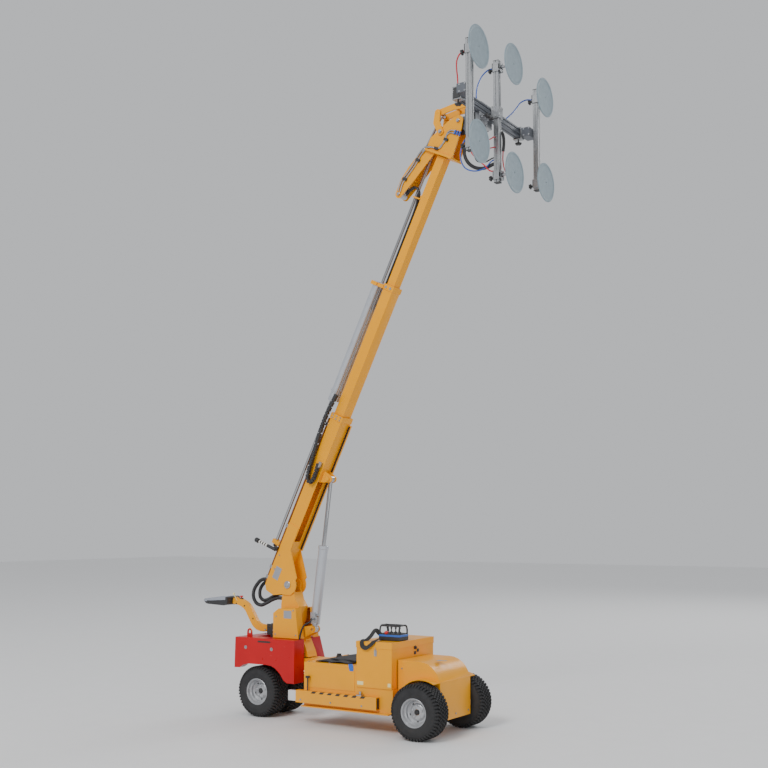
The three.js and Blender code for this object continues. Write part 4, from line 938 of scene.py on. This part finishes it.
def lamp():
    foot, tip = Vector((0.232, -0.104, 0.262)), Vector((0.214, -0.104, 0.505))
    axis = (tip - foot).normalized()
    profile = [(0.015, -0.01), (0.015, 0.085), (0.013, 0.087), (0.013, 0.2), (0.022, 0.204), (0.0225, 0.236),
               (0.018, 0.243)]
    stalk = Shape(BOOM).turned(foot, axis, profile, 40).box((0.226, -0.11, 0.24), (0.262, -0.086, 0.275))
    stalk.done("lamp_stalk", "boom_base", "black_plastic", replaces=["signal_lamp"])
    bands = Shape(BOOM)
    for middle in (0.1, 0.128, 0.156, 0.184):
        band = [(0.0155, -0.007), (0.0165, -0.005), (0.0165, 0.005), (0.0155, 0.007)]
        bands.turned(foot, axis, [(radius, middle + along) for radius, along in band], 40)
    bands.done("lamp_lenses", "boom_base", "lamp_lens")


lamp()


# ---------------------------------------------------------------- lift cylinder
def lift_cylinder():
    foot = Vector((-0.435, 0, 0.795))
    eye = MACHINE.inverted() @ BOOM @ Vector((1.053, 0, 0.036))
    along = (eye - foot).normalized()
    length = (eye - foot).length
    tube = [(0.03, 0.046), (0.0425, 0.05), (0.043, 0.056), (0.043, 0.728), (0.047, 0.732), (0.047, 0.758),
            (0.043, 0.7615), (0.02, 0.7615)]
    barrel = Shape().turned(foot, along, tube, 64).turned(foot, along, [(0.026, 0.018), (0.026, 0.052)], 32)
    barrel.rod(foot + Vector((0, -0.0265, 0)), foot + Vector((0, 0.0265, 0)), 0.03, 0.002, 40)
    barrel.done("barrel_lift", "lift_cylinder", "cylinder_grey", replaces=["lift_barrel"])
    port = foot + along * 0.115

    def by_port(x, y, z):
        return port + Vector((x, y, z))

    valve = Shape().box(by_port(-0.028, -0.048, -0.05), by_port(0.03, 0.02, 0.04))
    valve.rod(by_port(0.028, -0.03, 0.015), by_port(0.056, -0.03, 0.015), 0.012, sides=24)
    valve.rod(by_port(-0.005, -0.046, -0.02), by_port(-0.005, -0.066, -0.02), 0.011, sides=6)
    valve.done("hold_valve", "lift_cylinder", "steel", bevel=0.003)
    shank = [(0.016, 0.7), (0.018, 0.702), (0.018, length - 0.024), (0.016, length - 0.02)]
    ring = [(0.013, 0), (0.027, 0), (0.03, 0.003), (0.03, 0.042), (0.027, 0.045), (0.013, 0.045)]
    rod = Shape().turned(foot, along, shank, 48)
    rod.turned(eye + Vector((0, -0.0225, 0)), FAR, ring, 48, closed=True)
    rod.done("rod_lift", "lift_piston", "chrome_rod", replaces=["lift_rod"])
    route = [by_port(-0.004, -0.062, -0.018), (-0.402, -0.115, 0.868), (-0.45, -0.135, 0.838),
             (-0.488, -0.14, 0.756), (-0.502, -0.14, 0.672), (-0.504, -0.128, 0.61), (-0.504, -0.098, 0.58),
             (-0.504, -0.064, 0.576)]
    hose("hose_lift", "hose_black", ("lift_cylinder", "chassis"), 0.0085, route, steps=8, sides=12)


lift_cylinder()

# ---------------------------------------------------------------- chassis
for cad_node, edge_width in (("chassis_frame", 0.003), ("mast", 0.003), ("mast_cover", 0.0012),
                             ("battery_box", 0.0025), ("front_cowl", 0.004)):
    skin(cad_node, "chassis", "paint_yellow", edge_width)
skin("battery_lid", "lid", "paint_yellow", 0.004)
skin("counterweight", "chassis", "paint_red", 0.008)
skin("steering_yoke", "steering", "paint_black", 0.002)
skin("boom_pin", "chassis", "steel", 0.002)
for beam_side in SIDES:
    skin("outrigger_" + beam_side, "outrigger_" + beam_side, "white_steel", 0.004)
    skin("lock_knob_" + beam_side, "knob_" + beam_side, "black_plastic", 0.002)
for hidden, finish_name in (("battery_pack", "battery_case"), ("hydraulic_unit", "steel")):
    hidden_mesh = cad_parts[hidden].data
    hidden_mesh.materials.clear()
    hidden_mesh.materials.append(MATERIALS[finish_name])


def chassis_details():
    stripes, plates, bolts, dark, pale, panel = (Shape() for _ in range(6))
    panel_outline = [(-0.278, 0.33), (0.236, 0.33), (0.236, 0.5), (0.216, 0.522), (-0.258, 0.522),
                     (-0.278, 0.5)]
    for side in SIDES.values():
        panel.prism(panel_outline, *sorted((side * 0.3298, side * 0.3335)))
    panel.done("side_panels", "chassis", "paint_yellow", bevel=0.0015)
    # Stripes along the top outer edge of each side beam, bolts on its side, and a thin black sheet at its
    # tube's open end that is painted shade.
    for side in SIDES.values():
        y0, y1 = sorted((side * 0.3825, side * 0.3819))
        top_y0, top_y1 = sorted((side * 0.3815, side * 0.362))
        end_y0, end_y1 = sorted((side * 0.34, side * 0.372))
        for i in range(7):
            x = -0.19 + i * 0.085
            outline = [(x, 0.287), (x + 0.042, 0.287), (x + 0.06, 0.304), (x + 0.018, 0.304)]
            stripes.prism(outline, y0, y1).box((x + 0.018, top_y0, 0.3048), (x + 0.06, top_y1, 0.3056))
        for x in (-0.3, 0.02, 0.34):
            bolts.bolt((x, side * 0.382, 0.225), (0, side, 0), 0.007)
        # A black sheet painted as the shade inside the open end of the beam's tube.
        dark.box((0.4872, end_y0, 0.213), (0.488, end_y1, 0.292))
    # Blank plates where labels sit.
    plates.boxes(((0.906, -0.125, 0.6112), (0.952, -0.06, 0.6118)),
                 ((0.962, -0.11, 0.6112), (0.99, -0.06, 0.6118)))
    for x0, x1 in ((0.268, 0.33), (0.574, 0.603)):
        pale.box((x0, -0.3411, 0.394), (x1, -0.3398, 0.424))
    # Bolts round the deck, the mast foot and the cowl.
    for x in (-0.27, -0.05, 0.17):
        for y in (-0.3, 0.3):
            bolts.bolt((x, y, 0.546), UP, 0.007)
    for y in (-0.215, 0.0, 0.215):
        bolts.bolt((1.0285, y, 0.175), FORWARD, 0.007)
    for x, z in ((0.66, 0.545), (0.96, 0.46)):
        bolts.bolt_pair(x, 0.2545, z, 0.006)
    # Lid hinges at the rear of the battery box, toggle latches at its near and far sides.
    for y in (-0.24, 0.24):
        bolts.rod((0.2545, y - 0.035, 0.712), (0.2545, y + 0.035, 0.712), 0.006, sides=16)
        bolts.box((0.2565, y - 0.03, 0.665), (0.2598, y + 0.03, 0.712))
    for side in SIDES.values():
        y0, y1 = sorted((side * 0.34, side * 0.344))
        bolts.box((0.44, y0, 0.64), (0.466, y1, 0.69))
        bolts.rod((0.453, side * 0.346, 0.645), (0.453, side * 0.346, 0.712), 0.004, sides=12)
    # Key switch, hasp and socket on the front of the battery box.
    switch = [(0.017, 0), (0.017, 0.006), (0.011, 0.007), (0.011, 0.016)]
    dark.turned((0.613, 0.03, 0.69), FORWARD, switch, 32)
    dark.boxes(((0.613, 0.062, 0.65), (0.619, 0.088, 0.676)), ((0.613, 0.014, 0.632), (0.6165, 0.046, 0.658)))
    stripes.done("warning_stripes", "chassis", "stripe_black")
    plates.done("blank_plates_cowl", "chassis", "plate_pale", bevel=0.0002)
    pale.done("blank_plates_box", "chassis", "plate_yellow", bevel=0.0003)
    bolts.done("bolts_chassis", "chassis", "steel")
    dark.done("switches_and_tube_shade_chassis", "chassis", "black_plastic", bevel=0.0006)


def deck_details():
    """The mast cover's plate and screws, the mats, strap and filler caps on the deck, and the beam stop."""
    cover = Shape().box((-0.668, -0.156, 0.892), (-0.58, -0.1549, 0.962))
    cover.done("blank_plate_cover", "chassis", "plate_pale", bevel=0.0003)
    screws = Shape()
    for x, z in ((-0.765, 0.745), (-0.53, 0.745), (-0.755, 0.905), (-0.56, 0.965)):
        screws.bolt_pair(x, 0.155, z, 0.006)
    screws.done("screws_cover", "chassis", "steel")

    mat = Shape()
    count = 24
    for number, (x0, x1, y0, y1, z, lift) in enumerate(((-0.205, 0.16, -0.285, 0.27, 0.548, 0.01),
                                                        (-0.11, 0.225, -0.2, 0.295, 0.56, 0.006))):
        rings = []
        for i in range(count + 1):
            x = x0 + (x1 - x0) * i / count
            rise = z + lift * abs(math.sin(2.2 * math.pi * i / count + number)) + 0.0012 * (i % 2)
            rings.append([(x, y0, rise), (x, y1, rise), (x, y1, rise + 0.008), (x, y0, rise + 0.008)])
        mat.loft(rings)
    mat.done("deck_mats", "chassis", "mat_rubber", bevel=0.001, smooth=50)

    strap = [(0.172, 0.556), (0.214, 0.56), (0.222, 0.54), (0.226, 0.5), (0.186, 0.498), (0.176, 0.53)]
    Shape().prism(strap, -0.336, -0.3305).done("blue_strap", "chassis", "blue_plastic", bevel=0.0015)

    filler = Shape()
    filler.turned((-0.245, 0.12, 0.546), UP, [(0.026, 0), (0.026, 0.012), (0.02, 0.018), (0.02, 0.03)], 24)
    filler.turned((-0.15, 0.3, 0.568), UP, [(0.018, 0), (0.018, 0.012), (0.012, 0.016)], 24)
    filler.done("filler_caps", "chassis", "black_plastic")

    stop = Shape().boxes(((0.285, -0.384, 0.305), (0.335, -0.34, 0.316)),
                         ((0.3, -0.362, 0.315), (0.318, -0.345, 0.34)))
    stop.done("beam_stop", "chassis", "steel", bevel=0.0015)


chassis_details()
deck_details()


def counterweight_details():
    # The handle slot is a flat black sheet on the near face: painted shade where the recess would be.
    slot = [(-0.886, 0.672), (-0.75, 0.672), (-0.742, 0.68), (-0.75, 0.688), (-0.886, 0.688), (-0.894, 0.68)]
    Shape().prism(slot, -0.2512, -0.2496).done("handle_slot_painted_shade", "chassis", "stripe_black")
    bolts = Shape()
    for x, z in ((-1.032, 0.621), (-0.731, 0.619)):
        for side in (-1, 1):
            bolts.turned((x, side * 0.249, z), (0, side, 0), [(0.016, 0), (0.016, 0.003), (0.013, 0.004)], 32)
            bolts.bolt((x, side * 0.252, z), (0, side, 0), 0.009)
    bolts.done("bolts_counterweight", "chassis", "steel")
    ring = []
    for i in range(25):
        turn = math.radians(-50 + 280 * i / 24)
        ring.append((-1.072 + 0.0235 * math.cos(turn), -0.145, 0.7515 + 0.0285 * math.sin(turn)))
    path = smooth_path([(-1.052, -0.145, 0.71), *ring, (-1.092, -0.145, 0.71)], 2)
    Shape().tube(path, 0.0055, 12).done("lifting_eye", "chassis", "paint_yellow", smooth=60)


counterweight_details()

# ---------------------------------------------------------------- tiller
skin("tiller_arm", "tiller", "paint_yellow", 0.006)
skin("drive_rocker", "drive_switch", "paint_yellow", 0.002)


def tiller_grip():
    """The grip loop and its grey shell: two side covers with strips, a nose and a front cross piece."""
    grip = skin("tiller_grip", "tiller", "black_plastic", 0.008)
    grip.modifiers["edges"].segments = 4
    shell = Shape()
    for side in (-1, 1):
        y, near, far = side * 0.0785, side * 0.0935, side * 0.0968
        cover = []
        for x, z, half in ((-1.662, 1.026, 0.012), (-1.64, 1.031, 0.015), (-1.56, 1.041, 0.0165),
                           (-1.47, 1.053, 0.0165), (-1.412, 1.054, 0.014)):
            inset, crown = half * 0.8, z + 0.008
            cover.append([(x, y - half, z), (x, y - inset, crown), (x, y + inset, crown), (x, y + half, z)])
        shell.loft(cover)
        strip = []
        for x, top, deep in ((-1.652, 1.03, 0.014), (-1.6, 1.038, 0.022), (-1.52, 1.048, 0.026),
                             (-1.42, 1.054, 0.026)):
            bottom = top - deep
            strip.append([(x, near, bottom), (x, far, bottom), (x, far, top + 0.002), (x, near, top + 0.004)])
        shell.loft(strip)
    nose = []
    for y, x in ((-0.092, -1.65), (-0.07, -1.7135), (0.0, -1.715), (0.07, -1.7135), (0.092, -1.65)):
        nose.append([(x, y, 1.006), (x + 0.012, y, 1.006), (x + 0.012, y, 1.032), (x, y, 1.024)])
    shell.loft(nose)
    front = []
    for y, x, half in ((-0.086, -1.664, 0.012), (-0.06, -1.684, 0.014), (0.0, -1.688, 0.014),
                       (0.06, -1.684, 0.014), (0.086, -1.664, 0.012)):
        section = ((-half, 1.02), (-half * 0.7, 1.031), (half * 0.7, 1.034), (half, 1.026))
        front.append([(x + dx, y, z) for dx, z in section])
    shell.loft(front)
    shell.done("grip_shell", "tiller", "grey_plastic", bevel=0.0015, smooth=60)


def tiller_details():
    """The stop button with its collar, screws, the speed lever, and the bolts of the yoke."""
    collar = [(0.021, 0.016), (0.021, 0.022), (0.0185, 0.024), (0.011, 0.024)]
    Shape().turned((-1.3, 0, 1.022), UP, collar, 32).done("button_collar", "tiller", "black_plastic")
    low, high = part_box("stop_button")
    top = high.z
    mushroom = [(0.0085, low.z), (0.0085, top - 0.016), (0.0155, top - 0.014), (0.0168, top - 0.01),
                (0.0168, top - 0.004), (0.015, top - 0.001), (0.006, top)]
    button = Shape(Matrix()).turned(((low.x + high.x) / 2, 0, 0), UP, mushroom, 40)
    button.done("mushroom_button", "stop_switch", "red_plastic", replaces=["stop_button"])
    screws = Shape()
    for x, out, z in ((-1.345, 0.021, 0.992), (-1.245, 0.021, 0.975), (-1.14, 0.021, 0.86),
                      (-0.926, 0.0375, 0.792)):
        screws.bolt_pair(x, out, z, 0.006)
    screws.done("screws_tiller", "tiller", "black_plastic")
    lever = Shape().rod((-1.335, -0.021, 1.022), (-1.352, -0.05, 1.08), 0.004, sides=14)
    lever.rod((-1.352, -0.05, 1.078), (-1.352, -0.05, 1.096), 0.008, sides=20)
    lever.done("speed_lever", "tiller", "plate_yellow")
    bolts = Shape()
    for z in (0.731, 0.766):
        for x in (-0.975, -0.88):
            bolts.bolt((x, -0.0375, z), NEAR, 0.007)
    bolts.done("bolts_yoke", "steering", "steel")


tiller_grip()
tiller_details()


# ---------------------------------------------------------------- radio remote on the lid
def remote():
    """The remote's case with sticks and stop button, its blue band, and the guard hoops over it."""
    low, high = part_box("remote_control")
    middle = (low + high) / 2
    bottom, top = low.z, low.z + 0.062
    crown = top + 0.062
    placed = Matrix.Translation((middle.x, middle.y, 0))
    case = Shape(placed)
    case.prism([(-0.1, bottom + 0.002), (0.1, bottom + 0.002), (0.105, bottom + 0.02), (0.098, top),
                (-0.098, top), (-0.105, bottom + 0.02)], -0.072, 0.072)
    stick = [(0.016, 0), (0.012, 0.01), (0.005, 0.014), (0.0045, 0.034), (0.009, 0.038), (0.009, 0.046),
             (0.006, 0.05)]
    for x in (-0.062, -0.022, 0.022, 0.062):
        case.turned((x, 0.0, top), UP, stick, 24)
    for x in (-0.05, 0.0, 0.05):
        case.turned((x, -0.052, top), UP, [(0.007, 0), (0.006, 0.006), (0.003, 0.014)], 16)
    case.done("remote_case", "lid", "black_plastic", bevel=0.004, replaces=["remote_control"])
    band_low, band_high = bottom + 0.034, bottom + 0.052
    band = [(-0.104, band_low), (0.104, band_low), (0.1025, band_high), (-0.1025, band_high)]
    Shape(placed).prism(band, -0.0735, 0.0735).done("remote_band", "lid", "blue_plastic", bevel=0.003)
    bars = Shape(placed)
    for x in (-0.094, 0.094):
        hoop = [(x, -0.066, top - 0.01), (x * 1.02, -0.062, top + 0.035), (x, -0.048, crown),
                (x * 0.96, 0.0, crown + 0.003),
                (x, 0.048, crown), (x * 1.02, 0.062, top + 0.035), (x, 0.066, top - 0.01)]
        bars.tube(smooth_path(hoop, 6), 0.0075, 12)
    for y in (-0.05, 0.05):
        rail = [(-0.094, y, crown), (0.0, y * 1.06, crown + 0.001), (0.094, y, crown)]
        bars.tube(smooth_path(rail, 6), 0.0075, 12)
    bars.done("remote_guard", "lid", "black_plastic", smooth=60)
    knob = [(0.01, 0), (0.01, 0.014), (0.018, 0.016), (0.018, 0.026), (0.012, 0.031)]
    stop = Shape(placed).turned((-0.03, -0.06, top - 0.012), (0, -0.35, 0.94), knob, 32)
    stop.done("remote_stop", "lid", "red_plastic")


def shoulder_belt():
    """A flat strap from the remote, over the lid and down its near edge."""
    low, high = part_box("remote_control")
    x, y = (low.x + high.x) / 2, (low.y + high.y) / 2
    lid_low, lid_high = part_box("battery_lid")
    edge, lid_top = lid_low.y, lid_high.z
    over, down = lid_top + 0.006, edge - 0.009
    points = [(x - 0.098, y - 0.055, low.z + 0.05), (x - 0.128, y - 0.085, low.z + 0.085),
              (x - 0.15, y - 0.12, low.z + 0.04), (x - 0.172, y - 0.16, over),
              (x - 0.182, edge + 0.006, over), (x - 0.184, edge - 0.007, lid_top - 0.01),
              (x - 0.176, edge - 0.008, lid_top - 0.04),
              (x - 0.14, down, lid_top - 0.052), (x - 0.1, down, lid_top - 0.03),
              (x - 0.07, edge - 0.007, lid_top - 0.004), (x - 0.066, edge + 0.01, over),
              (x - 0.08, y - 0.09, low.z + 0.02)]
    route = smooth_path(points, 6)
    rings = []
    for i, point in enumerate(route):
        ahead = (route[min(i + 1, len(route) - 1)] - route[max(i - 1, 0)]).normalized()
        across = ahead.cross(Vector((0, -1, 0.6))).normalized() * 0.019
        thick = ahead.cross(across).normalized() * 0.0014
        rings.append([point + across * s + thick * t for s, t in ((-1, -1), (1, -1), (1, 1), (-1, 1))])
    Shape(Matrix()).loft(rings).done("remote_belt", "lid", "webbing", smooth=50)


remote()
shoulder_belt()

# ---------------------------------------------------------------- floor and light
REACH = 40                     # half the floor's side
SKY_COLOUR = (0.95, 0.97, 1.0, 1)
SKY_STRENGTH = 0.64

floor_mesh = bpy.data.meshes.new("floor")
floor_mesh.from_pydata([(-REACH, -REACH, 0), (REACH, -REACH, 0), (REACH, REACH, 0), (-REACH, REACH, 0)], [],
                       [(0, 1, 2, 3)])
floor = bpy.data.objects.new("floor", floor_mesh)
bpy.context.scene.collection.objects.link(floor)
floor.data.materials.append(finish_of("floor", (0.86, 0.86, 0.86), 0.7, tone=0.01, grain=0.02))

world = bpy.data.worlds.new("studio")
world.use_nodes = True
background = world.node_tree.nodes["Background"]
background.inputs["Color"].default_value = SKY_COLOUR
background.inputs["Strength"].default_value = SKY_STRENGTH
bpy.context.scene.world = world


def area_light(name, place, target, power, size):
    data = bpy.data.lights.new(name, "AREA")
    data.energy = power
    data.size = size
    light = bpy.data.objects.new(name, data)
    bpy.context.scene.collection.objects.link(light)
    light.location = place
    light.rotation_euler = (Vector(target) - Vector(place)).to_track_quat("-Z", "Y").to_euler()


area_light("key", place=(1.0, -17.0, 15.0), target=(0, 0, 2.6), power=2300, size=6.0)
area_light("fill", place=(16.0, -8.0, 6.0), target=(0.5, 0, 2.6), power=260, size=8.0)
area_light("rim", place=(3.0, 16.0, 11.0), target=(0, 0, 3.0), power=700, size=6.0)
